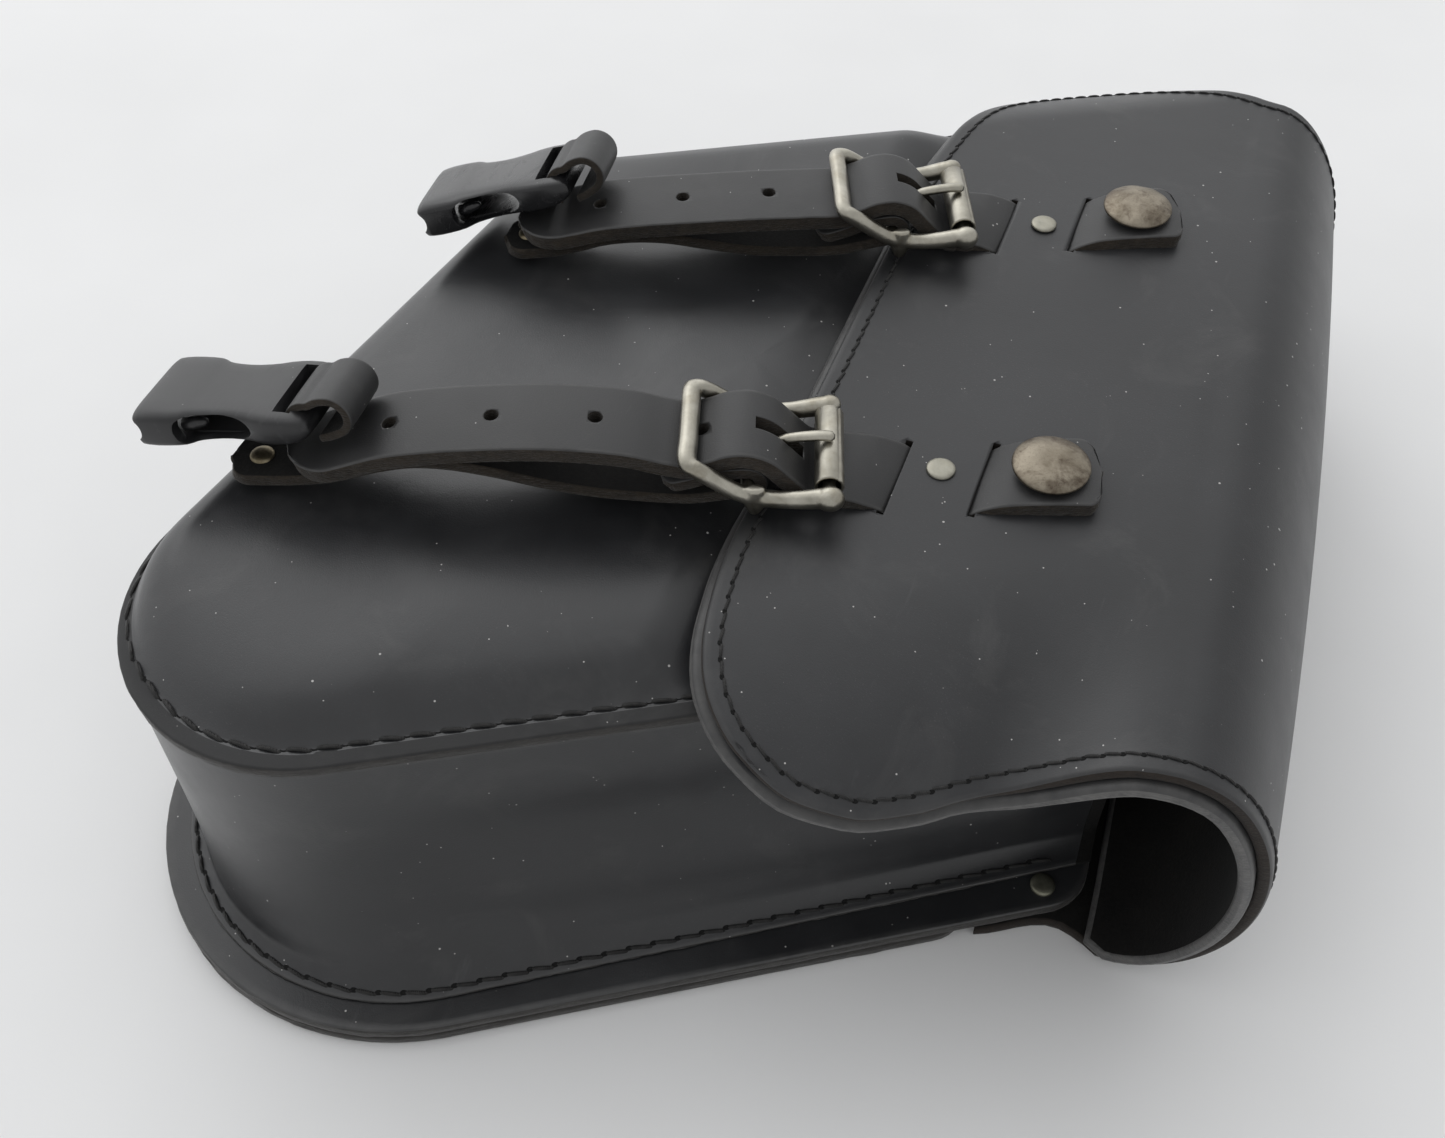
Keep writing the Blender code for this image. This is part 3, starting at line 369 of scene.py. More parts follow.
PLASTIC_GLOSS = plastic("clip_plastic", base=(0.010, 0.010, 0.011), rough=0.24, scuffed=0.35)
THREAD = thread("waxed_thread", dark=(0.006, 0.006, 0.006), light=(0.022, 0.021, 0.020))
# near-black awl holes: painted shade of the holes' depth
HOLE_PAINTED_SHADE = cut_edge("awl_hole_painted_shade", dark=(0.002, 0.002, 0.002), light=(0.006, 0.006, 0.006),
                rough=0.95, fibre=0.0, bump=0.2, sheen=0.0)
# slots of a leather sheet: grain side, cut edge, flesh side
BODY_SLOTS = [BODY, EDGE_BODY, FLESH_AND_PAINTED_SHADE]
STRAP_SLOTS = [STRAP, EDGE_STRAP, FLESH_AND_PAINTED_SHADE]


# ============================ curves ============================
def smoothstep(start, end, x):
    share = np.clip((np.asarray(x, float) - start) / (end - start), 0, 1)
    return share * share * (3 - 2 * share)


def unit(vectors):
    return vectors / np.maximum(np.linalg.norm(vectors, axis=-1, keepdims=True), 1e-12)


def run_length(path, power=1.0):
    """Running length at each point; each step's length may be raised to a power."""
    steps = np.linalg.norm(np.diff(path, axis=0), axis=1)
    return np.concatenate([[0], np.cumsum(steps ** power)])


def hermite(share, span, value0, slope0, value1, slope1):
    return ((2 * share ** 3 - 3 * share ** 2 + 1) * value0
            + (share ** 3 - 2 * share ** 2 + share) * span * slope0
            + (-2 * share ** 3 + 3 * share ** 2) * value1
            + (share ** 3 - share ** 2) * span * slope1)


def monotone(points, x):
    """Monotone cubic through (x, value) pairs."""
    knots, values = np.array(points, float).T
    spans = np.diff(knots)
    rises = np.diff(values) / spans
    slopes = np.zeros(len(knots))
    for i in range(1, len(knots) - 1):
        if rises[i - 1] * rises[i] > 0:
            before = 2 * spans[i] + spans[i - 1]
            after = spans[i] + 2 * spans[i - 1]
            slopes[i] = (before + after) / (before / rises[i - 1] + after / rises[i])
    slopes[0], slopes[-1] = rises[0], rises[-1]
    x = np.clip(np.asarray(x, float), knots[0], knots[-1])
    i = np.clip(np.searchsorted(knots, x, side="right") - 1, 0, len(knots) - 2)
    return hermite((x - knots[i]) / spans[i], spans[i],
                   values[i], slopes[i], values[i + 1], slopes[i + 1])


def resample(path, step=None, count=None, closed=False):
    """Evenly spaced points along a path, by step or by count."""
    path = np.array(path, float)
    if closed:
        path = np.vstack([path, path[:1]])
    length = run_length(path)
    if count is None:
        count = max(2, int(round(length[-1] / step)) + 1)
    places = np.linspace(0, length[-1], count + closed)
    if closed:
        places = places[:-1]
    return np.stack([np.interp(places, length, column) for column in path.T], 1)


def spline(points, step):
    """Smooth centripetal curve through points of any dimension, evenly resampled."""
    points = np.array(points, float)
    knots = run_length(points, power=0.5)
    slopes = np.zeros_like(points)
    for i in range(1, len(points) - 1):
        before, after = knots[i] - knots[i - 1], knots[i + 1] - knots[i]
        slopes[i] = ((points[i] - points[i - 1]) / before * after
                     + (points[i + 1] - points[i]) / after * before) / (before + after)
    slopes[0] = (points[1] - points[0]) / (knots[1] - knots[0])
    slopes[-1] = (points[-1] - points[-2]) / (knots[-1] - knots[-2])
    curve = []
    for i in range(len(points) - 1):
        for share in np.linspace(0, 1, 24, endpoint=False):
            curve.append(hermite(share, knots[i + 1] - knots[i],
                                 points[i], slopes[i], points[i + 1], slopes[i + 1]))
    curve.append(points[-1])
    return resample(curve, step)


def arc(centre_x, centre_z, radius, start, end, steps):
    """Points of an arc, angles in degrees."""
    angles = [math.radians(start + (end - start) * k / steps) for k in range(steps + 1)]
    return [(centre_x + radius * math.cos(a), centre_z + radius * math.sin(a))
            for a in angles]


def rounded(corners, radii, arc_steps, line_steps, closed=True):
    """Polygon with rounded corners; an open one keeps its two end points."""
    count = len(corners)
    arcs = []
    for i, radius in enumerate(radii):
        if not closed and i in (0, count - 1):
            arcs.append([tuple(corners[i])])
            continue
        here, before, after = (Vector(corners[k % count]) for k in (i, i - 1, i + 1))
        back, ahead = (before - here).normalized(), (after - here).normalized()
        half = back.angle(ahead) / 2
        centre = here + (back + ahead).normalized() * (radius / math.sin(half))
        start = here + back * (radius / math.tan(half))
        end = here + ahead * (radius / math.tan(half))
        angle = math.atan2(start.y - centre.y, start.x - centre.x)
        sweep = math.atan2(end.y - centre.y, end.x - centre.x) - angle
        sweep = (sweep + math.pi) % (2 * math.pi) - math.pi
        arcs.append([(centre.x + radius * math.cos(angle + sweep * k / arc_steps),
                      centre.y + radius * math.sin(angle + sweep * k / arc_steps))
                     for k in range(arc_steps + 1)])
    outline = []
    for i, points in enumerate(arcs):
        outline += points
        if closed or i < count - 1:
            (x0, y0), (x1, y1) = points[-1], arcs[(i + 1) % count][0]
            for k in range(1, line_steps):
                share = k / line_steps
                outline.append((x0 + (x1 - x0) * share, y0 + (y1 - y0) * share))
    return np.array(outline)


def distance_to(path, xy):
    """Distance of each point to an open polyline."""
    best = np.full(len(xy), 1e9)
    for start, end in zip(path[:-1], path[1:]):
        run = end - start
        share = np.clip(((xy - start) @ run) / (run @ run), 0, 1)
        gap = np.linalg.norm(xy - start - share[:, None] * run, axis=1)
        best = np.minimum(best, gap)
    return best


def wobble(xy, size, wavelength, seed):
    """Slow smooth unevenness, a sum of seven fixed waves."""
    draw = np.random.default_rng(seed)
    total = np.zeros(len(xy))
    for _ in range(7):
        angle = draw.uniform(0, 2 * math.pi)
        rate = 2 * math.pi / (wavelength * draw.uniform(0.6, 1.7))
        along = xy[:, 0] * math.cos(angle) + xy[:, 1] * math.sin(angle)
        total += np.sin(rate * along + draw.uniform(0, 6.28))
    return total * size / 3.0


# ============================ meshes ============================
def vertex_normals(verts, faces):
    normals = np.zeros_like(verts)
    by_size = {}
    for face in faces:
        by_size.setdefault(len(face), []).append(face)
    for size, group in by_size.items():
        group = np.array(group)
        first = verts[group[:, 0]]
        areas = np.zeros((len(group), 3))
        for i in range(1, size - 1):
            areas += np.cross(verts[group[:, i]] - first, verts[group[:, i + 1]] - first)
        for i in range(size):
            np.add.at(normals, group[:, i], areas)
    return unit(normals)


def facing(verts, faces, vertex, direction):
    """The faces, turned over if the normal at a vertex points away from a direction."""
    if vertex_normals(verts, faces)[vertex] @ np.array(direction, float) < 0:
        return [face[::-1] for face in faces]
    return faces


def open_loops(faces):
    """Loops of vertices round the open edges."""
    edges = {edge for face in faces for edge in zip(face, face[1:] + face[:1])}
    following = {a: b for a, b in edges if (b, a) not in edges}
    loops = []
    while following:
        first = min(following)
        loop = [first]
        vertex = following.pop(first)
        while vertex != first:
            loop.append(vertex)
            vertex = following.pop(vertex)
        loops.append(loop)
    return loops


def rim_directions(verts, normals, loop):
    """Outward direction at each rim vertex, and how much a corner there lengthens it."""
    points, up = verts[loop], normals[loop]
    before = np.cross(unit(points - verts[np.roll(loop, 1)]), up)
    after = np.cross(unit(verts[np.roll(loop, -1)] - points), up)
    outward = unit(before + after)
    return outward, 1 / np.clip((outward * before).sum(1), 0.66, 1)


def grid_faces(rows, columns, wrap=False):
    """Quads between rows of vertices; wrap joins the last column to the first."""
    faces = []
    for row in range(rows - 1):
        here, below = row * columns, (row + 1) * columns
        for i in range(columns if wrap else columns - 1):
            j = (i + 1) % columns
            faces.append((here + i, here + j, below + j, below + i))
    return faces


def disc_faces(rings, count):
    """Quads between closed rings and a fan to one last, middle vertex."""
    last = (rings - 1) * count
    return grid_faces(rings, count, wrap=True) + [
        (last + j, last + (j + 1) % count, rings * count) for j in range(count)]


def end_caps(rings, count):
    """Caps for the first and last of a stack of rings."""
    return [tuple(range(count))[::-1], tuple(range((rings - 1) * count, rings * count))]


def mesh_object(name, verts, faces, materials, slots=None, wear=None, smooth=True,
                angle=None, world=None):
    mesh = bpy.data.meshes.new(name)
    mesh.from_pydata((np.asarray(verts, float) * MM).tolist(), [],
                     [tuple(int(k) for k in face) for face in faces])
    for material in materials:
        mesh.materials.append(material)
    if slots is not None:
        mesh.polygons.foreach_set("material_index", np.asarray(slots, np.int32))
    if wear is not None:
        attribute = mesh.attributes.new("wear", "FLOAT", "POINT")
        attribute.data.foreach_set("value", np.asarray(wear, np.float32))
    if world is not None:
        mesh.transform(world)
    if smooth:
        mesh.shade_smooth()
    if angle is not None:
        mesh.set_sharp_from_angle(angle=math.radians(angle))
    mesh.update()
    ob = bpy.data.objects.new(name, mesh)
    SCENE.collection.objects.link(ob)
    return ob


def leather_sheet(name, verts, faces, thickness, materials, rounding, fuzz, seed=1,
                  swell=0.12, wear=1.0, world=None):
    """Closed sheet grown inwards from its grain side, with rounded edges.

    thickness: a number or one per vertex.  rounding: edge radii on the grain side and the
    flesh side.  fuzz: roughness of the cut edge.  swell: how far the edge stands out.
    """
    normals = vertex_normals(verts, faces)
    thickness = np.broadcast_to(np.asarray(thickness, float), len(verts))
    draw = np.random.default_rng(seed)
    top, low = verts.copy(), verts - normals * thickness[:, None]
    worn = np.zeros(len(verts))
    all_verts, all_wear = [top], [worn]
    all_faces, slots = list(faces), [0] * len(faces)
    base = len(verts)
    seams = []
    for loop in open_loops(faces):
        points, up, deep = verts[loop], normals[loop], thickness[loop]
        outward, mitre = rim_directions(verts, normals, loop)
        top_round = np.minimum(rounding[0], deep * 0.42)
        low_round = np.minimum(rounding[1], deep * 0.40)
        top[loop] = points - outward * (top_round * mitre)[:, None]
        low[loop] = points - up * deep[:, None] - outward * (low_round * mitre)[:, None]
        worn[loop] = wear
        # rings down the edge: outward offset, depth, wear
        rings = []
        for turn in (30, 60, 90):
            sine, cosine = math.sin(math.radians(turn)), math.cos(math.radians(turn))
            rings.append((-top_round + top_round * sine, top_round - top_round * cosine,
                          1.0 if turn < 90 else 0.8))
        for share in (0.33, 0.66):
            rings.append((swell * np.ones(len(loop)),
                          top_round + (deep - top_round - low_round) * share, 0.3))
        for turn in (90, 60, 30):
            sine, cosine = math.sin(math.radians(turn)), math.cos(math.radians(turn))
            rings.append((-low_round + low_round * sine,
                          deep - low_round + low_round * cosine, 0.3))
        previous = loop
        for ring, (offset, depth, ring_wear) in enumerate(rings):
            jitter = 0.0
            if 2 <= ring <= 5:
                rough = draw.normal(0, 1, len(loop))
                rough = (rough + np.roll(rough, 1) + 0.6 * np.roll(rough, 2)) / 1.6
                jitter = rough * fuzz
            reach = (offset + jitter) * np.where(offset < -1e-9, mitre, 1.0)
            all_verts.append(points + outward * reach[:, None] - up * depth[:, None])
            all_wear.append(np.full(len(loop), ring_wear * wear))
            current = list(range(base, base + len(loop)))
            base += len(loop)
            for k in range(len(loop)):
                after = (k + 1) % len(loop)
                all_faces.append((previous[after], previous[k], current[k], current[after]))
            slots += [0 if ring < 2 else 1] * len(loop)
            previous = current
        seams.append((loop, previous))
    all_verts.append(low)
    all_wear.append(np.zeros(len(verts)))
    all_faces += [tuple(k + base for k in reversed(face)) for face in faces]
    slots += [2] * len(faces)
    for loop, previous in seams:
        for k in range(len(loop)):
            after = (k + 1) % len(loop)
            all_faces.append((previous[after], previous[k],
                              loop[k] + base, loop[after] + base))
        slots += [1] * len(loop)
    return mesh_object(name, np.vstack(all_verts), all_faces, materials, slots,
                       np.concatenate(all_wear), world=world)


def tube(path, radius_across, radius_up=None, sides=10, up=UP):
    """Swept oval tube with shrunken closed ends."""
    path = np.array(path, float)
    count = len(path)
    across_radii = np.broadcast_to(np.asarray(radius_across, float), count)
    up_radii = across_radii
    if radius_up is not None:
        up_radii = np.broadcast_to(np.asarray(radius_up, float), count)
    tangents = unit(np.gradient(path, axis=0))
    ups = np.zeros_like(path)
    last = np.array(up, float)
    for i, tangent in enumerate(tangents):
        last = unit(last - tangent * (last @ tangent))
        ups[i] = last
    across = np.cross(tangents, ups)
    turns = np.linspace(0, 2 * math.pi, sides, endpoint=False)[:, None]
    overhang = tangents * across_radii[:, None] * 0.55
    stations = [(path[0] - overhang[0], 0.45, 0)]
    stations += [(path[i], 1.0, i) for i in range(count)]
    stations += [(path[-1] + overhang[-1], 0.45, count - 1)]
    verts = [centre + scale * (np.cos(turns) * across[i] * across_radii[i]
                               + np.sin(turns) * ups[i] * up_radii[i])
             for centre, scale, i in stations]
    faces = grid_faces(count + 2, sides, wrap=True) + end_caps(count + 2, sides)
    return np.vstack(verts), faces


def lathe(profile, steps):
    """Turned solid from (radius, z) pairs, top to bottom; both ends on the axis."""
    verts, faces, rings = [], [], []
    for radius, z in profile:
        count = 1 if radius < 1e-6 else steps
        rings.append(list(range(len(verts), len(verts) + count)))
        for k in range(count):
            angle = 2 * math.pi * k / steps
            verts.append((radius * math.cos(angle), radius * math.sin(angle), z))
    for above, below in zip(rings[:-1], rings[1:]):
        for i in range(steps):
            j = (i + 1) % steps
            if len(above) == 1:
                faces.append((above[0], below[i], below[j]))
            elif len(below) == 1:
                faces.append((above[i], below[0], above[j]))
            else:
                faces.append((above[i], below[i], below[j], above[j]))
    return np.array(verts, float), faces


def box(x0, x1, y0, y1, z0, z1):
    verts = [(x, y, z) for z in (z0, z1) for y in (y0, y1) for x in (x0, x1)]
    return np.array(verts, float), [(0, 2, 3, 1), (4, 5, 7, 6), (0, 1, 5, 4), (2, 6, 7, 3),
                                    (0, 4, 6, 2), (1, 3, 7, 5)]


def prism(first, second):
    """Solid between two matching rings."""
    count = len(first)
    return (np.vstack([first, second]),
            grid_faces(2, count, wrap=True) + end_caps(2, count))


def rod(start, end, radius, sides=24):
    start, end = np.array(start, float), np.array(end, float)
    along = unit(end - start)
    side = unit(np.cross(along, UP if abs(along[2]) < 0.9 else (1.0, 0, 0)))
    turns = np.linspace(0, 2 * math.pi, sides, endpoint=False)[:, None]
    ring = (np.cos(turns) * side + np.sin(turns) * np.cross(along, side)) * radius
    return prism(start + ring, end + ring)


def merged(parts):
    verts, faces, base = [], [], 0
    for part_verts, part_faces in parts:
        verts.append(part_verts)
        faces += [tuple(k + base for k in face) for face in part_faces]
        base += len(part_verts)
    return np.vstack(verts), faces


def bake(ob):
    """Apply an object's modifiers."""
    graph = bpy.context.evaluated_depsgraph_get()
    bpy.context.view_layer.update()
    mesh = bpy.data.meshes.new_from_object(ob.evaluated_get(graph),
                                           preserve_all_data_layers=True, depsgraph=graph)
    old = ob.data
    ob.modifiers.clear()
    ob.data = mesh
    bpy.data.meshes.remove(old)


def cut_away(ob, cutters):
    for cutter in cutters:
        modifier = ob.modifiers.new("cut", "BOOLEAN")
        modifier.object = cutter
        modifier.operation = "DIFFERENCE"
        modifier.solver = "EXACT"
    bpy.context.view_layer.update()
    bake(ob)
    for cutter in cutters:
        bpy.data.objects.remove(cutter, do_unlink=True)


def edge_cutter(parts, materials, world=None):
    """Cutter that leaves the second material on what it cuts."""
    verts, faces = merged(parts)
    return mesh_object("cutter", verts, faces, materials, [1] * len(faces), smooth=False,
                       world=world)


def only_material(ob, material):
    ob.data.materials.clear()
    ob.data.materials.append(material)


def register(ob, nodes=(), body=None, blend=None):
    """Hide the CAD nodes an object replaces and parent it to a body; with a blend, only its
    placement is baked in, and the blend's bodies and points are not used.
    """
    if nodes:
        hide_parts(*nodes)
    if blend:
        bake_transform(ob)
    else:
        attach(ob, body)


def stitches(name, path, normals, pitch, radius, rise, slant, hole):
    """Lockstitches along a path on a surface: short threads that dip into awl holes."""
    length = run_length(path)
    count = int(length[-1] / pitch)
    draw = np.random.default_rng(len(path) + count)

    def at(distance):
        point, normal = (np.array([np.interp(distance, length, column) for column in data.T])
                         for data in (path, normals))
        return point, unit(normal)

    # share of the way along, height above the surface
    shape = ((0, -0.55), (0.10, 0.02), (0.32, rise * 0.9), (0.55, rise), (0.8, rise * 0.75),
             (0.93, -0.02), (1.0, -0.55))
    turns = np.linspace(0, 2 * math.pi, 10, endpoint=False)[:, None]
    hole_faces = grid_faces(3, 10, wrap=True) + [tuple(range(20, 30))]
    hole_faces += [((j + 1) % 10, j, 30) for j in range(10)]
    threads, holes = [], []
    for k in range(count):
        start, start_up = at(k * pitch + 0.16 * pitch)
        end, end_up = at(min((k + 1) * pitch + 0.02 * pitch, length[-1]))
        along = (end - start) / max(np.linalg.norm(end - start), 1e-6)
        side = np.cross(start_up, along)
        lean = slant * (1 + draw.normal(0, 0.18))
        points = [start + (end - start) * share
                  + (start_up * (1 - share) + end_up * share) * height
                  + side * lean * (0.5 - share) for share, height in shape]
        threads.append(tube(points, radius, radius * 0.85, sides=7, up=start_up))
        centre = end - side * lean * 0.5 + along * pitch * 0.07
        oval = 1.15 * np.cos(turns) * along + 0.8 * np.sin(turns) * side
        rings = [centre + end_up * height + size * oval
                 for size, height in ((hole, 0.015), (hole * 0.72, 0.09), (hole * 0.3, 0.02))]
        holes.append((np.vstack(rings + [(centre - end_up * 0.9)[None]]), hole_faces))
    verts, faces = merged(threads + holes)
    thread_faces = sum(len(part) for _, part in threads)
    # the awl holes get the near-black painted shade
    return mesh_object(name, verts, faces, [THREAD, HOLE_PAINTED_SHADE],
                       [0] * thread_faces + [1] * (len(faces) - thread_faces))


# ============================ body outlines ============================
SEAM_Z = 100.0                          # front panel at its seam
ROLL_SKEW, ROLL_X = -0.06, 114.2        # the roll starts along x = ROLL_X + ROLL_SKEW * y
FLANGE = 12.0                           # turned foot of the gusset on the back panel
TAIL_X = 83.0                           # end of the lid's tail under the bag
T_FRONT, T_BACK, T_REINFORCEMENT = 3.6, 4.0, 3.9
# side lines: slope and offset of y = slope * x + offset
FRONT_NEAR, FRONT_FAR = (0.589, -120.6), (0.577, 147.0)
BACK_NEAR, BACK_FAR = (0.644, -153.1), (0.577, 173.0)
BASE_NEAR, BASE_FAR = (0.6874, -134.5), (BACK_FAR[0], BACK_FAR[1] - FLANGE * 1.155)
# lines across: slope and offset of x = slope * y + offset
FRONT_BOTTOM, BACK_BOTTOM = (0.1404, -139.2), (0.1404, -151.2)
BASE_BOTTOM = (BACK_BOTTOM[0], BACK_BOTTOM[1] + FLANGE * 1.01)
MOUTH = (ROLL_SKEW, ROLL_X - 7.0)
NEAR_OUTWARD = np.array([0.507, -0.862])        # across the near side, out of the bag


def roll_x(y):
    return ROLL_X + ROLL_SKEW * np.asarray(y, float)


def crossing(side, across):
    x = (across[0] * side[1] + across[1]) / (1 - across[0] * side[0])
    return (x, side[0] * x + side[1])


def plan(near, far, bottom, mouth=MOUTH):
    return [crossing(near, mouth), crossing(near, bottom), crossing(far, bottom),
            crossing(far, mouth)]


FRONT_CORNERS = plan(FRONT_NEAR, FRONT_FAR, FRONT_BOTTOM)
BACK_CORNERS = plan(BACK_NEAR, BACK_FAR, BACK_BOTTOM)
BASE_CORNERS = plan(BASE_NEAR, BASE_FAR, BASE_BOTTOM)
MIDDLE = np.array([sum(column) / 4 for column in zip(*FRONT_CORNERS)])
# U-shaped outlines, open at the mouth
front_u, back_u, base_u = (
    rounded(corners, (0, near, far, 0), 40, 60, closed=False)
    for corners, near, far in ((FRONT_CORNERS, 53, 44), (BACK_CORNERS, 78, 56),
                               (BASE_CORNERS, 66, 44)))


def inward(points, tangents):
    """Directions across an outline, towards the middle of the front panel."""
    across = unit(np.stack([-tangents[:, 1], tangents[:, 0]], 1))
    return -across if ((MIDDLE - points) * across).sum() < 0 else across


# ============================ front panel ============================
# distance from the outline, rise above the seam: the near side and the other sides
GENTLE = ((0, 0), (4.5, 0.1), (6.8, 0.5), (9, 1.9), (13, 4.9), (19, 7.8), (28, 9.6),
          (42, 10.4), (90, 10.8))
STEEP = ((0, 0), (1.5, 0.15), (2.7, 0.7), (5, 4.5), (8, 9.2), (11, 11.6), (16, 12.8),
         (28, 12.2), (60, 11), (90, 10.6))
RING_COUNT = 560
# distance of each ring of vertices from the panel's edge
INSETS = (0, 2.0, 2.9, 3.7, 4.4, 5.0, 5.6, 6.2, 6.9, 7.7, 8.6, 9.6, 10.8, 12.1, 13.6, 15.3,
          17.2, 19.5, 22, 25, 28.5, 32.5, 37, 42, 48, 55, 63, 72, 82, 93, 104, 114)


def soften_rings(height):
    """Even out the pillow along each ring, so no crease runs in from the corners."""
    rates = np.fft.rfftfreq(RING_COUNT)
    blur = np.exp(-2 * (math.pi * 15 * rates) ** 2)
    for ring, inset in enumerate(INSETS):
        part = slice(ring * RING_COUNT, (ring + 1) * RING_COUNT)
        soft = np.fft.irfft(np.fft.rfft(height[part]) * blur, RING_COUNT)
        share = float(smoothstep(9, 26, inset))
        height[part] = height[part] * (1 - share) + soft * share
    height[-1] = height[-1 - RING_COUNT:-1].mean()


def front_z(xy, in_rings=False):
    """Height of the moulded front: gentle along the near side, steep elsewhere."""
    distance = distance_to(front_u, xy)
    reach = 4.0
    slope = unit(np.stack([distance_to(front_u, xy + step) - distance_to(front_u, xy - step)
                           for step in (np.array([reach, 0]), np.array([0, reach]))], 1))
    near = smoothstep(-0.45, 0.80, -(slope @ NEAR_OUTWARD))
    height = monotone(STEEP, distance) * (1 - near) + monotone(GENTLE, distance) * near
    if in_rings:
        soften_rings(height)
    height = height * (1 - 0.60 * smoothstep(-16, 6, xy[:, 0]))
    height = height - 0.40 * near * np.exp(-((distance - 5.7) / 0.8) ** 2)
    height = height + wobble(xy, size=0.35, wavelength=90, seed=3) * smoothstep(8, 40, distance)
    return SEAM_Z + height


def front_panel():
    edge = resample(rounded(FRONT_CORNERS, (4, 53, 44, 4), 24, 30), count=RING_COUNT,
                    closed=True)
    radius = np.linalg.norm(edge - MIDDLE, axis=1)
    across = inward(edge, np.roll(edge, -1, 0) - np.roll(edge, 1, 0))
    squareness = ((MIDDLE - edge) / radius[:, None] * across).sum(1)
    rings = []
    for inset in INSETS:
        # even distance from the edge at first, an even share of the radius further in
        inner = min(1.0, inset / 45.0)
        share = inset / (radius * squareness) * (1 - inner) + inset / 118.0 * inner
        rings.append(edge + (MIDDLE - edge) * share[:, None])
    xy = np.vstack(rings + [MIDDLE[None]])
    verts = np.column_stack([xy, front_z(xy, in_rings=True)])
    faces = facing(verts, disc_faces(len(rings), RING_COUNT), 0, UP)
    panel = leather_sheet("front_panel_leather", verts, faces, T_FRONT,
                          BODY_SLOTS + [BODY_RIM_PAINTED_SHADE], rounding=(0.8, 0.5), fuzz=0.10, wear=0.25)
    # the band outside the seam is duller and darker, wider on the near side; the darker colour
    # is painted shade where the band should droop away from the light
    polygons = panel.data.polygons
    centres = np.array([polygon.center for polygon in polygons]) / MM
    slots = np.array([polygon.material_index for polygon in polygons])
    near_line = centres[:, 1] - FRONT_NEAR[0] * centres[:, 0] + 20.0
    width = 1.3 + 3.3 * smoothstep(-30, 30, -near_line)
    slots[(slots == 0) & (distance_to(front_u, centres[:, :2]) < width)] = 3
    polygons.foreach_set("material_index", slots.astype(np.int32))
    register(panel, ["front_panel"], body="bag")


def front_stitches():
    """Seam just inside the U-shaped edge, further in along the near side."""
    outline = resample(front_u, step=1.0)
    across = inward(outline, np.gradient(outline, axis=0))
    near = smoothstep(-0.3, 0.75, -(across @ NEAR_OUTWARD))
    line = (outline + across * (2.2 + 3.5 * near)[:, None])[4:-14]
    seam = stitches("front_seam_stitches", np.column_stack([line, front_z(line) + 0.05]),
                    np.tile([0, 0, 1.0], (len(line), 1)), pitch=7.6, radius=0.58, rise=0.46,
                    slant=0.8, hole=1.05)
    register(seam, body="bag")


front_panel()
front_stitches()

# ============================ gusset ============================
# z, share of the way out from the front outline (0) to the base outline (1), thickness;
# past 1 the foot turns out towards the back outline
SECTION = ((96.3, 0.0, 3.8), (84, 0.02, 3.8), (64, 0.07, 3.8), (42, 0.20, 3.8),
           (26, 0.48, 3.8), (17.6, 0.78, 3.8), (14.2, 0.93, 3.8), (12.2, 1.06, 3.4),
           (10.9, 1.18, 2.3), (10.1, 1.29, 1.55), (9.5, 1.42, 1.0))
SHARE_MM = 24           # length of a whole share when the section is spaced out
GUSSET_COUNT = 520


def gusset():
    stations = np.array([(z, share * SHARE_MM) for z, share, _ in SECTION])
    section = spline(stations, 1.9)
    station_length, length = run_length(stations), run_length(section)
    thickness = np.interp(length / length[-1] * station_length[-1], station_length,
                          [row[2] for row in SECTION])
    # the outlines keep in step by using the same share of each corner and run
    base_length = run_length(base_u)
    indices = np.arange(len(base_u))
    picks = np.interp(np.linspace(0, base_length[-1], GUSSET_COUNT), base_length, indices)
    inner, base, outer = (np.stack([np.interp(picks, indices, column) for column in path.T], 1)
                          for path in (front_u, base_u, back_u))
    inner = inner + (MIDDLE - inner) * 0.006
    outward = unit(base - inner)
    along = np.linspace(0, 1, GUSSET_COUNT)
    base_x, near_wall = base[:, 0], outward[:, 1] < 0
    rows = []
    for z, spaced in section:
        share = spaced / SHARE_MM
        points = inner + (base - inner) * min(share, 1.0)
        if share > 1:
            points = points + (outer - base) * (share - 1)
        # slackness of the wall
        level = math.sin(math.pi * min(1, max(0, (z - 14) / 82)))
        bow = 0.55 * level * np.sin(along * 37 + z * 0.02) * 0.8
        dent = 2.6 * np.exp(-((z - 58) / 15) ** 2) * smoothstep(-70, 10, base_x) * near_wall
        belly = 1.6 * np.exp(-((z - 30) / 12) ** 2) * smoothstep(-60, 0, base_x) * near_wall
        points = points + outward * (bow - dent + belly)[:, None]
        rows.append(np.column_stack([points, np.full(GUSSET_COUNT, z)]))
    verts = np.vstack(rows)
    middle = GUSSET_COUNT // 2 + 4 * GUSSET_COUNT
    faces = facing(verts, grid_faces(len(rows), GUSSET_COUNT), middle,
                   (*(verts[middle][:2] - MIDDLE), 0))
    wall = leather_sheet("gusset_leather", verts, faces, np.repeat(thickness, GUSSET_COUNT),
                         BODY_SLOTS, rounding=(0.5, 0.4), fuzz=0.10, seed=5)
    # the mouth end, inside the roll, takes the near-black flesh material as painted shade
    for polygon in wall.data.polygons:
        centre = polygon.center / MM
        if centre.x > ROLL_X + ROLL_SKEW * centre.y - 10.5:
            polygon.material_index = 2
    register(wall, ["gusset"], body="bag")
    # stitches along the turned foot
    normals = vertex_normals(verts, faces)
    row = int(np.argmin(np.abs(section[:, 1] / SHARE_MM - 1.27)))
    line = slice(row * GUSSET_COUNT + 8, (row + 1) * GUSSET_COUNT - 14)
    seam = stitches("base_seam_stitches", verts[line] + normals[line] * 0.02, normals[line],
                    pitch=7.2, radius=0.56, rise=0.44, slant=0.7, hole=1.0)
    register(seam, body="bag")


gusset()


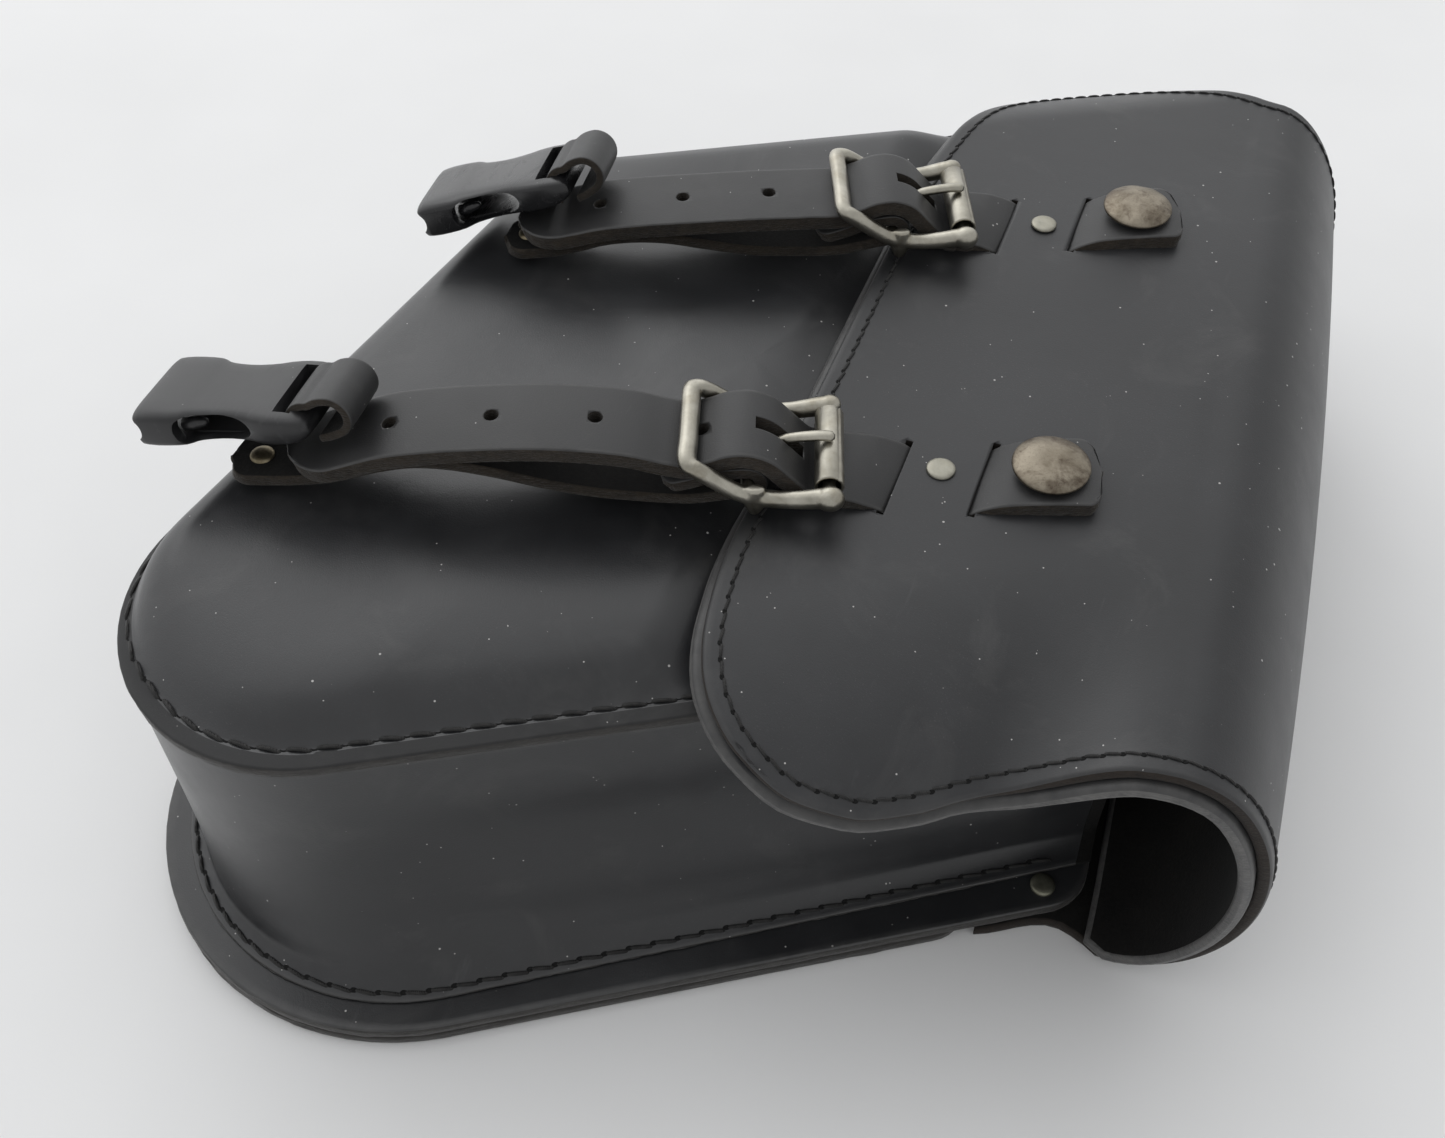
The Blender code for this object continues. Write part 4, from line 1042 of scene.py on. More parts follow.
# ============================ back panel and reinforcement ============================
def flat_sheet(name, outline, z, thickness, direction, **finish):
    """Flat sheet whose grain side is at height z and faces up or down."""
    count = 420
    edge = resample(outline, count=count, closed=True)
    centre = edge.mean(0)
    rings = [edge + (centre - edge) * share
             for share in (0, 0.016, 0.035, 0.07, 0.16, 0.34, 0.6, 0.85)]
    xy = np.vstack(rings + [centre[None]])
    verts = np.column_stack([xy, np.full(len(xy), z)])
    faces = facing(verts, disc_faces(len(rings), count), 0, direction)
    return leather_sheet(name, verts, faces, thickness, BODY_SLOTS, **finish)


back = flat_sheet("back_panel_leather", rounded(BACK_CORNERS, (16, 78, 56, 16), 24, 30),
                  8.3, T_BACK, UP, rounding=(0.8, 0.5), fuzz=0.10, seed=8)
register(back, ["back_panel"], body="bag")
REINFORCEMENT_CORNERS = plan(BACK_NEAR, BACK_FAR, BACK_BOTTOM, mouth=(ROLL_SKEW, TAIL_X - 8))
reinforcement = flat_sheet(
    "back_reinforcement_leather", rounded(REINFORCEMENT_CORNERS, (14, 78, 56, 14), 24, 30),
    0.05, T_REINFORCEMENT, (0, 0, -1), rounding=(0.7, 0.5), fuzz=0.12, seed=9)
register(reinforcement, ["back_reinforcement"], body="bag")

# ============================ strap placement ============================
SLIT_NEAR_CONCHO, SLIT_BEYOND = 17.0, 41.0      # slits in the lid, from the concho
RIVET_AT = 28.5
RIVET_SIDE = {"near": 3.0, "far": 0.0}          # rivet's offset from the strap's middle
LID_TOP = cad_box("lid_outer")[1][2]


def cad_centre(node):
    low, high = cad_box(node)
    return (low + high) / 2


# a strap's own frame has the concho at its origin and runs towards -x
STRAP_PLACE, STRAP_ANGLE = {}, {}
for side in SIDES:
    concho, rivet = cad_centre("concho_" + side), cad_centre("strap_rivet_" + side)
    STRAP_ANGLE[side] = (math.atan2(concho[1] - rivet[1], concho[0] - rivet[0])
                         + math.atan2(RIVET_SIDE[side], RIVET_AT))
    STRAP_PLACE[side] = (Matrix.Translation((concho[0] * MM, concho[1] * MM, 0))
                         @ Matrix.Rotation(STRAP_ANGLE[side], 4, "Z"))


def strap_point(side, point):
    """A point of the strap's frame in the bag's frame."""
    return np.array(STRAP_PLACE[side] @ (Vector(point) * MM)) / MM


# ============================ lid ============================
T_LID, T_LINING = 3.8, 4.1
LINING_OUT = 2.7                # how far the lining stands out past the outer layer
ROLL_DEPTH, ROLL_HALF = 32.0, 59.0      # half ellipse of the roll: along x and along z
LEAD_X, FLAT_END = -1.0, 112.0
ROLL_NEAR, FAR_END = -104.0, 177.0
# x, y of the two sides, from the leading edge to the roll
NEAR_EDGE = ((-1.0, -70.0), (0.5, -91.0), (4.0, -107.5), (11.0, -121.5), (22.0, -130.8),
             (36.0, -135.0), (50.0, -133.0), (64.0, -126.0), (80.0, -114.5), (96.0, -108.2),
             (112.0, -105.2), (130.0, -104.2))
FAR_EDGE = ((-1.0, 98.0), (0.5, 113.0), (3.5, 128.5), (11.0, 147.0), (24.0, 160.5),
            (44.0, 173.0), (66.0, 179.5), (86.0, 181.5), (100.0, 180.5), (112.0, 178.5),
            (130.0, 177.0))
SPLIT_NEAR, SPLIT_FAR = 24.0, 30.0      # x where the leading row of vertices ends
# rows of the tail under the bag: x at y = 0, y of the near end
TAIL = ((110.5, -91.2), (106.5, -89.6), (102.5, -88.6), (98.5, -88.9), (94.5, -90.4),
        (90.5, -92.6), (86.5, -95.2), (82.5, -97.6), (TAIL_X - 4.5, -99.4))
COLUMNS, FLAT_ROWS, ROLL_ROWS = 161, 52, 60
LID_BLEND = ("bag", "lid", (ROLL_X + ROLL_DEPTH, 0, 20.0), (ROLL_X + ROLL_DEPTH, 0, 97.0))


def lid_z(x, y):
    """Height of the lid's flat part, drooping near both sides."""
    from_near = (y - FRONT_NEAR[1] - FRONT_NEAR[0] * x) * 0.862
    from_far = (FRONT_FAR[0] * x + FRONT_FAR[1] - y) * 0.866
    droop = 1 - smoothstep(74, 112, x)
    return (LID_TOP - 13 * droop * (np.maximum(0, 22 - from_near) / 50) ** 2
            - 14 * droop * (np.maximum(0, 22 - from_far) / 30) ** 2)


def lid_wobble(xy):
    return wobble(xy, size=0.28, wavelength=120, seed=12)


def lid_edge(points):
    """Smooth side outline, with points crowded towards the leading edge."""
    roots = [math.sqrt(x - LEAD_X) for x, _ in points]
    places = np.linspace(0, math.sqrt(FLAT_END - LEAD_X), 600)
    y = monotone(list(zip(roots, [point[1] for point in points])), places)
    return np.column_stack([places ** 2 + LEAD_X, y])


def lid_plan():
    """Grid of x, y over the flat part: a patch between four edges, then relaxed."""
    near, far = lid_edge(NEAR_EDGE), lid_edge(FAR_EDGE)
    lead = resample(np.vstack([near[near[:, 0] <= SPLIT_NEAR][::-1],
                               far[far[:, 0] <= SPLIT_FAR]]), count=COLUMNS)
    near = resample(near[near[:, 0] >= SPLIT_NEAR], count=FLAT_ROWS)
    far = resample(far[far[:, 0] >= SPLIT_FAR], count=FLAT_ROWS)
    near[0], far[0] = lead[0], lead[-1]
    last = np.column_stack([np.full(COLUMNS, FLAT_END),
                            np.linspace(near[-1, 1], far[-1, 1], COLUMNS)])
    a = np.linspace(0, 1, COLUMNS)[None, :, None]
    b = np.linspace(0, 1, FLAT_ROWS)[:, None, None]
    grid = ((1 - b) * lead[None] + b * last[None]
            + (1 - a) * near[:, None] + a * far[:, None]
            - ((1 - a) * (1 - b) * lead[0] + a * (1 - b) * lead[-1]
               + (1 - a) * b * last[0] + a * b * last[-1]))
    for _ in range(400):
        grid[1:-1, 1:-1] = 0.25 * (grid[:-2, 1:-1] + grid[2:, 1:-1]
                                   + grid[1:-1, :-2] + grid[1:-1, 2:])
    return grid


def flat_rows(grid):
    x, y = grid[..., 0], grid[..., 1]
    # the leading edge is not quite straight
    x = x + (1 - smoothstep(0, 40, x)) * (1.8 - 3.4 * smoothstep(17, 72, -y))
    x = x + (roll_x(y) - FLAT_END) * smoothstep(70, 112, x)
    rows = [np.column_stack([x[i], y[i], lid_z(x[i], y[i])]) for i in range(FLAT_ROWS)]
    for row in rows[:FLAT_ROWS - 4]:
        row[:, 2] += lid_wobble(row[:, :2])
    return rows


def roll_rows(near_y, far_y, shares):
    """Rows in even steps round the half ellipse, which bows out between its ends."""
    angles = np.linspace(0, math.pi, 2000)
    length = run_length(np.column_stack([ROLL_DEPTH * np.sin(angles),
                                         ROLL_HALF * np.cos(angles)]))
    places = np.linspace(0, length[-1], ROLL_ROWS + 1)[1:]
    rows = []
    for angle in np.interp(places, length, angles):
        near = near_y + float(smoothstep(0, 0.6, angle)) + 11.0 * (1 - math.cos(angle)) / 2
        far = far_y + (FAR_END - far_y) * smoothstep(0, 0.7, angle)
        y = near + (far - near) * shares
        share = np.clip((y - ROLL_NEAR) / (FAR_END - ROLL_NEAR), 0, 1)
        bow = 4.0 * np.sin(math.pi * share) ** 0.8
        # the last angle is pi, where the sine must not fall below zero
        sine = math.sin(angle)
        x = roll_x(y) + ROLL_DEPTH * sine + bow * sine ** 1.5
        rows.append(np.column_stack([
            x, y, np.full(len(y), ROLL_HALF + ROLL_HALF * math.cos(angle))]))
    return rows


def lid_surface():
    grid = lid_plan()
    last_y = grid[-1, :, 1]
    shares = (last_y - last_y[0]) / (last_y[-1] - last_y[0])
    rows = flat_rows(grid) + roll_rows(last_y[0], last_y[-1], shares)
    for x, near_y in TAIL:
        y = near_y + (FAR_END - 0.8 - near_y) * shares
        rows.append(np.column_stack([x + ROLL_SKEW * y, y, np.zeros(COLUMNS)]))
    verts = np.vstack(rows)
    faces = facing(verts, grid_faces(len(rows), COLUMNS), COLUMNS * 10 + 80, UP)
    return verts, faces


def lid_outer(verts, faces):
    outer = leather_sheet("lid_outer_leather", verts, faces, T_LID, [LID, EDGE_LID_AND_GROOVE_SHADE, FLESH_AND_PAINTED_SHADE],
                          rounding=(1.25, 1.0), fuzz=0.05, seed=11, wear=0.45)
    cutters = []
    for side in SIDES:
        parts = []
        for at in (SLIT_NEAR_CONCHO, SLIT_BEYOND):
            # each slit runs across the bag along y, not square to the strap
            slit, slit_faces = box(-1.0, 1.0, -14.4, 14.4, -9, 8)
            parts.append((slit + strap_point(side, (-at, 0, LID_TOP)), slit_faces))
        cutters.append(edge_cutter(parts, [LID, EDGE_STRAP, FLESH_AND_PAINTED_SHADE]))
    cut_away(outer, cutters)
    register(outer, ["lid_outer", "lid_outer_back"], blend=LID_BLEND)


def lid_stitches(verts, normals, rim, outward):
    """Stitch line just inside the edge, round the lid and down the roll."""
    path = verts[rim] - outward * 4.7
    flat = (path[:, 0] < 106) & (path[:, 2] > 90)
    path[:, 2] = np.where(flat, lid_z(path[:, 0], path[:, 1]) + lid_wobble(path[:, :2]),
                          path[:, 2])
    kept = rim < (FLAT_ROWS + ROLL_ROWS - 6) * COLUMNS
    # start the loop on the underside so that it is one run
    order = np.roll(np.arange(len(rim)), -int(np.argmax(~kept)))
    run = order[kept[order]]
    line = resample(np.column_stack([path[run], normals[rim[run]]]), step=0.8)
    seam = stitches("lid_edge_stitches", line[:, :3] + line[:, 3:] * 0.03, line[:, 3:],
                    pitch=4.7, radius=0.42, rise=0.26, slant=0.5, hole=0.78)
    register(seam, blend=LID_BLEND)


def lid_lining(verts, normals, rim, outward):
    """Inner layer: every second row and column, to the first row of the tail."""
    rows = range(0, FLAT_ROWS + ROLL_ROWS + 1, 2)
    columns = range(0, COLUMNS, 2)
    kept = np.array([row * COLUMNS + column for row in rows for column in columns])
    points = verts[kept].copy()
    nearest = np.full(len(points), 1e9)
    direction = np.zeros_like(points)
    above_tail = rim < (FLAT_ROWS + ROLL_ROWS) * COLUMNS
    for rim_point, rim_outward in zip(verts[rim][above_tail], outward[above_tail]):
        gap = np.linalg.norm(points - rim_point, axis=1)
        closer = gap < nearest
        nearest[closer] = gap[closer]
        direction[closer] = rim_outward
    reach = LINING_OUT * (1 - np.clip(nearest / 22, 0, 1)) ** 2
    points = points + direction * reach[:, None]
    points = points - normals[kept] * (T_LID + 0.15)
    faces = facing(points, grid_faces(len(rows), len(columns)), len(columns) * 6 + 30, UP)
    lining = leather_sheet("lid_inner_leather", points, faces, T_LINING,
                           [LID, EDGE_LINING, FLESH_AND_PAINTED_SHADE], rounding=(1.7, 1.3), fuzz=0.04,
                           seed=13, swell=0.25, wear=1.6)
    register(lining, ["lid_lining", "lid_lining_back"], blend=LID_BLEND)


lid_verts, lid_faces = lid_surface()
lid_normals = vertex_normals(lid_verts, lid_faces)
lid_rim = np.array(open_loops(lid_faces)[0])
lid_outward, _ = rim_directions(lid_verts, lid_normals, lid_rim)
lid_outer(lid_verts, lid_faces)
lid_stitches(lid_verts, lid_normals, lid_rim, lid_outward)
lid_lining(lid_verts, lid_normals, lid_rim, lid_outward)

# ============================ straps ============================
T_STRAP, W_STRAP = 5.0, 25.0
T_CHAPE, W_CHAPE, W_CHAPE_LEG = 3.6, 23.0, 16.5
STRAP_Z = LID_TOP + 0.3 + T_STRAP / 2
ROLLER_AT, BAR_AT, HEEL_AT = 57.5, 79.0, 94.5       # buckle parts along the strap
ROLLER_Z, BAR_Z, HEEL_Z = 127.5, 125.5, 135.6
BAR_RADIUS = 1.8
SHIFT = {"near": 1.7, "far": -0.6}                  # each buckle's own shift along the strap
HOLES_AT = {"near": (93.0, 120.9, 148.3, 176.0), "far": (93.6, 115.7, 142.2, 167.7)}
# middle line of a strap: distance along it, height above STRAP_Z
STRAP_START = (         # from the tab through both slits of the lid
    (-14, -.4), (-9, -.4), (-3, -.45), (3, -.75), (8, -1.6), (12, -2.9), (15, -4.3),
    (17.6, -6.3), (20.6, -8.5), (25, -9.5), (29, -9.6), (33, -9.5), (37.4, -8.5),
    (40.4, -6.3), (43, -4.3), (46, -2.9), (50, -1.5), (55, -.5), (60, .1))
STRAP_AT_BUCKLE = (     # moves with the buckle
    (63.5, 1.4), (66.5, 4.2), (70, 8.2), (74, 12.3), (79, 14.2), (84, 13.6), (89, 11.3),
    (94.5, 9.6))
STRAP_END = {
    "near": ((103, 10.6), (111, 12.8), (121, 14.0), (135, 14.4), (148, 13.6), (162, 12.1),
             (176, 9.5), (184, 6.6), (190, 4.3), (195, 2.8), (200, 1.9), (205, 1.4)),
    "far": ((101, 9.3), (110, 9.1), (122, 8.8), (135, 8.2), (146, 7.7), (157, 7.0),
            (167.7, 5.9), (175, 4.3), (181, 3.0), (187, 2.0), (193.5, 1.6))}
# middle line of a chape, the leather round the buckle's bar: distance along the strap, z
CHAPE_UPPER = ((103, 122.0), (94, 125.0), (86, 128.3))
CHAPE_LOWER = ((87, 119.9), (96, 117.2), (108, 115.6))
CHAPE_LEG = {
    "near": ((122, 116.5), (136, 119.4), (148, 122.8), (160, 125.2), (170, 125.5),
             (180, 123.3), (188, 120.4), (195, 118.5), (203, 117.4), (211, 117.0),
             (215, 116.9), (219, 116.8), (222, 116.7)),
    "far": ((122, 116.2), (136, 118.8), (148, 121.2), (158, 121.7), (167, 120.8),
            (175, 118.6), (182, 117.0), (188, 116.4), (192, 116.2), (195.5, 116.1),
            (198.5, 116.0))}
# leather loop round a clip's bar, in the clip's frame: distance towards its mouth, z
CLIP_LOOP = ([(-3.2, -4.9), (-5.2, -4.6)] + arc(-7.4, 1.6, 5.2, 255, 100, 9)
             + [(-4.8, 6.45)] + arc(-1.0, 0.0, 5.3, 100, -60, 10))
# a clip's bar: distance along the strap, sideways, z, then yaw, pitch, roll in degrees
CLIP_BAR = {"near": (195.2, 4.8, 135.0, -7.6, -8.5, -9.3),
            "far": (176.6, 7.0, 135.9, -7.5, -18.5, -10.5)}


def shifted(points, by_x, by_z=0.0):
    return [(x + by_x, z + by_z) for x, z in points]


def strap_path(side):
    return (shifted(STRAP_START, 0, STRAP_Z)
            + shifted(STRAP_AT_BUCKLE, SHIFT[side], STRAP_Z)
            + shifted(STRAP_END[side], 0, STRAP_Z))


def chape_path(side):
    turn = arc(BAR_AT, BAR_Z, BAR_RADIUS + 0.4 + T_CHAPE / 2, 80, 280, 8)
    return (shifted([*CHAPE_UPPER, *turn, *CHAPE_LOWER], SHIFT[side])
            + list(CHAPE_LEG[side]))


def round_end(distance, length, power):
    """Share of the full width at a distance from a rounded end."""
    share = (length - distance) / length
    return max(0.10, (1 - share ** power) ** (1 / power)) if share > 0 else 1.0


def strap_width(along, total):
    return (W_STRAP * round_end(along, length=5.5, power=2.6)
            * round_end(total - along, length=15.0, power=1.9))


def chape_width(along, total):
    """Full width round the buckle, narrower along the lower leg."""
    width = W_CHAPE - (W_CHAPE - W_CHAPE_LEG) * float(smoothstep(44, 72, along))
    return (width * round_end(along, length=6.0, power=2.1)
            * round_end(total - along, length=7.0, power=2.1))


def clip_place(side):
    """Placement of a clip: its bar's axis at the origin, its mouth towards -x."""
    along, sideways, z, *turns = CLIP_BAR[side]
    place = STRAP_PLACE[side] @ Matrix.Translation((-along * MM, sideways * MM, z * MM))
    for angle, axis in zip(turns, "ZYX"):
        place = place @ Matrix.Rotation(math.radians(angle), 4, axis)
    return place


def slit_shear(side):
    """Skews the strap's dip to match slits that are not square to it."""
    slope = math.tan(STRAP_ANGLE[side])

    def warp(verts):
        along = -verts[:, 0]
        share = smoothstep(1, 10, along) * (1 - smoothstep(49, 59, along))
        verts = verts.copy()
        verts[:, 0] += verts[:, 1] * slope * share
        return verts
    return warp


def strip(name, path, thickness, width, world, rounding, fuzz, seed=1, grain=-1, step=1.1,
          columns=(0, 1.4, 2.6, 4.4, 7, 10), crown=0.25, warp=None, cuts=None):
    """Leather strip along (distance, z) points of its middle.

    grain: +1 puts the smooth side on the left of travel, -1 on the right.  columns:
    distances of the vertices in from each edge.  width: function of the length so far and
    the whole length.  crown: how far the middle stands above the edges.
    """
    middle = spline([(-along, z) for along, z in path], step)
    tangents = unit(np.gradient(middle, axis=0))
    normals = np.stack([-tangents[:, 1], tangents[:, 0]], 1) * grain
    length = run_length(middle)
    rows = []
    for point, normal, along in zip(middle, normals, length):
        half = width(along, length[-1]) / 2
        insets = np.array(columns, float) * min(1, half / 12.5)
        y = np.concatenate([-half + insets, [0], (half - insets)[::-1]])
        top = point + normal * thickness / 2
        drop = crown * (1 - (y / max(half, 1e-6)) ** 2) - crown
        rows.append(np.column_stack([top[0] + normal[0] * drop, y, top[1] + normal[1] * drop]))
    verts = np.vstack(rows)
    if warp:
        verts = warp(verts)
    count, half_way = len(rows[0]), len(rows) // 2
    faces = facing(verts, grid_faces(len(rows), count), half_way * count + count // 2,
                   (normals[half_way][0], 0, normals[half_way][1]))
    ob = leather_sheet(name, verts, faces, thickness, STRAP_SLOTS, rounding, fuzz, seed,
                       world=world)
    if cuts:
        cut_away(ob, [edge_cutter(cuts, STRAP_SLOTS, world)])
    return ob


def strap_leathers(side):
    """A strap, its chape and the loop that holds the clip."""
    place, shift, body = STRAP_PLACE[side], SHIFT[side], "billet_" + side
    holes = [rod((-at, 0, 95), (-at, 0, 150), radius=2.05) for at in HOLES_AT[side]]
    tongue_slot = box(-77.2 - shift, -64.4 - shift, -2.1, 2.1, 118, 150)
    strap = strip("strap_" + side + "_leather", strap_path(side), T_STRAP, strap_width, place,
                  rounding=(0.7, 0.5), fuzz=0.16, seed=21 + len(side), crown=0.35,
                  warp=slit_shear(side), cuts=holes + [tongue_slot])
    register(strap, ["strap_" + side, "billet_" + side],
             blend=("lid", body, strap_point(side, (-44.5, 0, STRAP_Z)),
                    strap_point(side, (-53.5, 0, STRAP_Z))))

    chape = strip("chape_" + side + "_leather", chape_path(side), T_CHAPE, chape_width, place,
                  rounding=(0.6, 0.4), fuzz=0.12, seed=31, grain=1,
                  cuts=[box(-87 - shift, -71 - shift, -2.4, 2.4, 118.5, 134)])
    register(chape, ["chape_" + side], body=body)

    loop = strip("clip_loop_" + side + "_leather", CLIP_LOOP, 2.3, lambda along, total: 20.0,
                 clip_place(side), rounding=(0.45, 0.35), fuzz=0.05, step=0.9,
                 columns=(0, 1.2, 2.4, 4.5, 7), crown=0.1)
    register(loop, ["clip_loop_" + side], body=body)


for side in SIDES:
    strap_leathers(side)

# ============================ metal hardware ============================
# half of the buckle's frame: distance along the strap, sideways, z
FRAME_HALF = ((ROLLER_AT, 17.0, ROLLER_Z), (61, 17.0, 126.8), (66, 16.7, 125.9),
              (72, 16.3, 125.5), (BAR_AT, 16.0, 126.4), (84.5, 15.7, 129.2),
              (89.5, 15.4, 132.8), (92.4, 15.0, 134.6), (94.0, 14.2, 135.2),
              (HEEL_AT, 12.6, HEEL_Z), (HEEL_AT, 6.0, HEEL_Z))
KNOB_RADIUS = 3.7
# radius, z
LUG_PROFILE = ((0, 4.2), (2.4, 4.0), (3.0, 1.0), (2.8, -2.0), (2.0, -4.2), (1.1, -5.8),
               (0, -6.3))
ROLLER_OUTER = 3.92
# wall of the roller's tube: radius, y
ROLLER_WALL = ((3.1, -13.2), (3.1, 13.2), (3.35, 13.4), (3.75, 13.35), (ROLLER_OUTER, 13.1),
               (ROLLER_OUTER, -13.1), (3.75, -13.35), (3.35, -13.4))
# the tongue beyond its ring: x, z
TONGUE = ((-BAR_AT + 3.2, BAR_Z + 4.3), (-73, 130.0), (-68, 131.6), (-63.5, 132.5),
          (-60.5, 132.9), (-58.5, 132.9), (-57.2, 132.7))


def buckle_frame(side, place):
    """Cast frame with a knob at each end of the roller and lugs for the centre bar."""
    rail = [(-along, -y, z) for along, y, z in FRAME_HALF] + [(-HEEL_AT, 0, HEEL_Z)]
    rail += [(-along, y, z) for along, y, z in reversed(FRAME_HALF)]
    path = spline(rail, 0.8)
    at_heel = 1 - smoothstep(-94.3, -92.0, path[:, 0])
    at_roller = 1 - smoothstep(58, 70, -path[:, 0])
    parts = [tube(path, 2.30 + 0.45 * at_roller + 0.40 * at_heel,
                  2.40 + 0.40 * at_roller - 0.25 * at_heel, sides=18)]
    turns = [math.radians(angle) for angle in range(15, 180, 15)]
    ball = ([(0, KNOB_RADIUS)]
            + [(KNOB_RADIUS * math.sin(a), KNOB_RADIUS * math.cos(a)) for a in turns]
            + [(0, -KNOB_RADIUS)])
    for sign, size in ((-1, 1.0), (1, 0.82)):
        knob, faces = lathe(ball, 24)
        parts.append((knob * np.array([1.05, 0.92, 0.92]) * size
                      + np.array([-ROLLER_AT + 0.2, 17.4 * sign, ROLLER_Z - 0.1]), faces))
        lug, faces = lathe(LUG_PROFILE, 20)
        parts.append((lug * np.array([1.05, 0.66, 1.0])
                      + np.array([-BAR_AT + 2.2, 16.4 * sign, BAR_Z + 0.2]), faces))
    parts.append(rod((-BAR_AT, -16, BAR_Z), (-BAR_AT, 16, BAR_Z), BAR_RADIUS))
    parts.append(rod((-ROLLER_AT, -17, ROLLER_Z), (-ROLLER_AT, 17, ROLLER_Z), 1.75))
    verts, faces = merged(parts)
    ob = mesh_object("buckle_frame_" + side + "_cast", verts, faces, [NICKEL])
    fuse = ob.modifiers.new("fuse", "REMESH")
    fuse.mode = "VOXEL"
    fuse.voxel_size = 0.42 * MM
    fuse.use_smooth_shade = True
    cast = ob.modifiers.new("cast", "SMOOTH")
    cast.factor = 0.5
    cast.iterations = 5
    bake(ob)
    only_material(ob, NICKEL)
    ob.data.transform(place)
    ob.data.shade_smooth()
    register(ob, ["buckle_frame_" + side], body="billet_" + side)


def buckle_roller(side, place):
    """Rolled sheet tube with a sunken seam line."""
    steps, count = 72, len(ROLLER_WALL)
    verts = []
    for k in range(steps):
        angle = 2 * math.pi * k / steps
        from_seam = (angle - 0.9 + math.pi) % (2 * math.pi) - math.pi
        seam = 0.32 * math.exp(-(from_seam / 0.055) ** 2)
        for radius, y in ROLLER_WALL:
            sunk = radius - (seam if radius > 3.5 else 0)
            verts.append((-ROLLER_AT + sunk * math.cos(angle), y,
                          ROLLER_Z + sunk * math.sin(angle)))
    verts = np.array(verts)
    faces = [tuple(vertex % len(verts) for vertex in face)
             for face in grid_faces(steps + 1, count, wrap=True)]
    faces = facing(verts, faces, 4, (verts[4][0] + ROLLER_AT, 0, verts[4][2] - ROLLER_Z))
    ob = mesh_object("buckle_roller_" + side + "_tube", verts, faces, [NICKEL], angle=50,
                     world=place)
    register(ob, ["buckle_roller_" + side], body="roller_" + side)


def buckle_tongue(side, place):
    """Wire turned round the centre bar, flattened where it lies on the roller."""
    turns = [math.radians(angle) for angle in range(330, 99, -15)]
    points = [(-BAR_AT + 3.5 * math.cos(a), 0, BAR_Z + 3.5 * math.sin(a)) for a in turns]
    path = spline(points + [(x, 0, z) for x, z in TONGUE], 0.7)
    flat = smoothstep(-72, -60, path[:, 0])
    verts, faces = tube(path, 1.40 + 0.25 * flat, 1.35 - 0.10 * flat, sides=16)
    ob = mesh_object("buckle_tongue_" + side + "_wire", verts, faces, [NICKEL], world=place)
    register(ob, ["buckle_tongue_" + side], body="tongue_" + side)


# turned parts, centred on their CAD nodes: node, suffix, material, slot, body, steps,
# sharp angle, (radius, depth below the top), (radius, height above the bottom)
TURNED = (
    ("concho_", "_face", BRASS, "antique_brass", "lid", 96, 55,
     ((0, 0), (2.5, 0.05), (5.0, 0.28), (7.2, 0.75), (8.9, 1.35), (9.6, 1.75), (10.1, 2.0),
      (10.45, 2.35), (10.55, 2.8), (10.4, 3.25), (10.0, 3.45), (2.6, 3.5)),
     ((2.5, 0.2), (2.3, 0), (0, 0))),
    ("strap_rivet_", "_head", RIVET, "nickel", "lid", 48, 50,
     ((0, 0), (2.0, 0.02), (3.1, 0.10), (3.7, 0.28), (4.0, 0.6), (4.0, 0.95), (1.4, 1.0)),
     ((1.4, 0), (0, 0))),
    ("concho_nut_", "_disc", NICKEL, "nickel", "lid", 48, 40,
     ((0, 0), (5.2, 0), (5.8, 0.3), (5.9, 0.9)),
     ((5.6, 0.25), (5.0, 0), (1.6, 0), (1.2, 0.5), (0, 0.6))),
    ("tab_rivet_", "_head", SMALL_BRASS, "antique_brass", "billet_", 40, 50,
     ((0, 0), (1.5, 0.12), (2.7, 0.45), (3.3, 0.95), (3.4, 1.25), (1.7, 1.3)),
     ((1.7, 0), (0, 0))),
    ("side_rivet_", "_head", RIVET_DULL, "nickel", "bag", 48, 50,
     ((0, 0), (2.0, 0.03), (3.0, 0.18), (3.6, 0.5), (3.75, 1.0)),
     ((3.7, 0), (0, 0))),
)


def turned_parts(side):
    for node, suffix, material, slot, body, steps, angle, upper, lower in TURNED:
        low, high = cad_box(node + side)
        centre, top = (low + high) / 2, high[2]
        verts, faces = lathe([(radius, top - depth) for radius, depth in upper]
                             + [(radius, low[2] + height) for radius, height in lower], steps)
        if node == "concho_":
            # slightly hammered face
            hammered = wobble(verts[:, :2] + 40, size=0.10, wavelength=7, seed=5 + len(side))
            verts[:, 2] += np.where(verts[:, 2] > top - 2.2, hammered, 0)
        ob = mesh_object(node + side + suffix, verts, faces, [material], angle=angle,
                         world=Matrix.Translation((centre[0] * MM, centre[1] * MM, 0)))
        register(ob, [node + side], body=body + side if body == "billet_" else body)


for side in SIDES:
    buckle_place = STRAP_PLACE[side] @ Matrix.Translation((-SHIFT[side] * MM, 0, 0))
    buckle_frame(side, buckle_place)
    buckle_roller(side, buckle_place)
    buckle_tongue(side, buckle_place)
    turned_parts(side)

# ============================ plastic clips ============================
# stations from the bar end to the mouth, in the clip's frame
SHELL_X = (2.3, 1.9, 0.6, -1.5, -4, -7, -9.5, -12, -15, -18, -21, -24, -27, -29.5, -31, -32.3,
           -33.6, -36, -39, -42, -44.5, -46.0, -46.7, -47.0)
# x, half width
SHELL_WIDTH = ((-47.0, 14.5), (-46.2, 15.3), (-42, 15.6), (-35, 15.5), (-33, 15.1),
               (-31, 13.9), (-28, 13.1), (-22, 12.7), (-16, 13.3), (-11, 14.7), (-6, 15.2),
               (-1, 14.9), (1.2, 13.8), (2.3, 12.6))
# x, half height
SHELL_HEIGHT = ((-47.0, 4.8), (-46.2, 5.4), (-41, 5.8), (-35, 5.6), (-30, 5.1), (-22, 4.8),
                (-11, 4.9), (-5, 4.7), (0, 3.6), (1.6, 2.7), (2.3, 1.9))
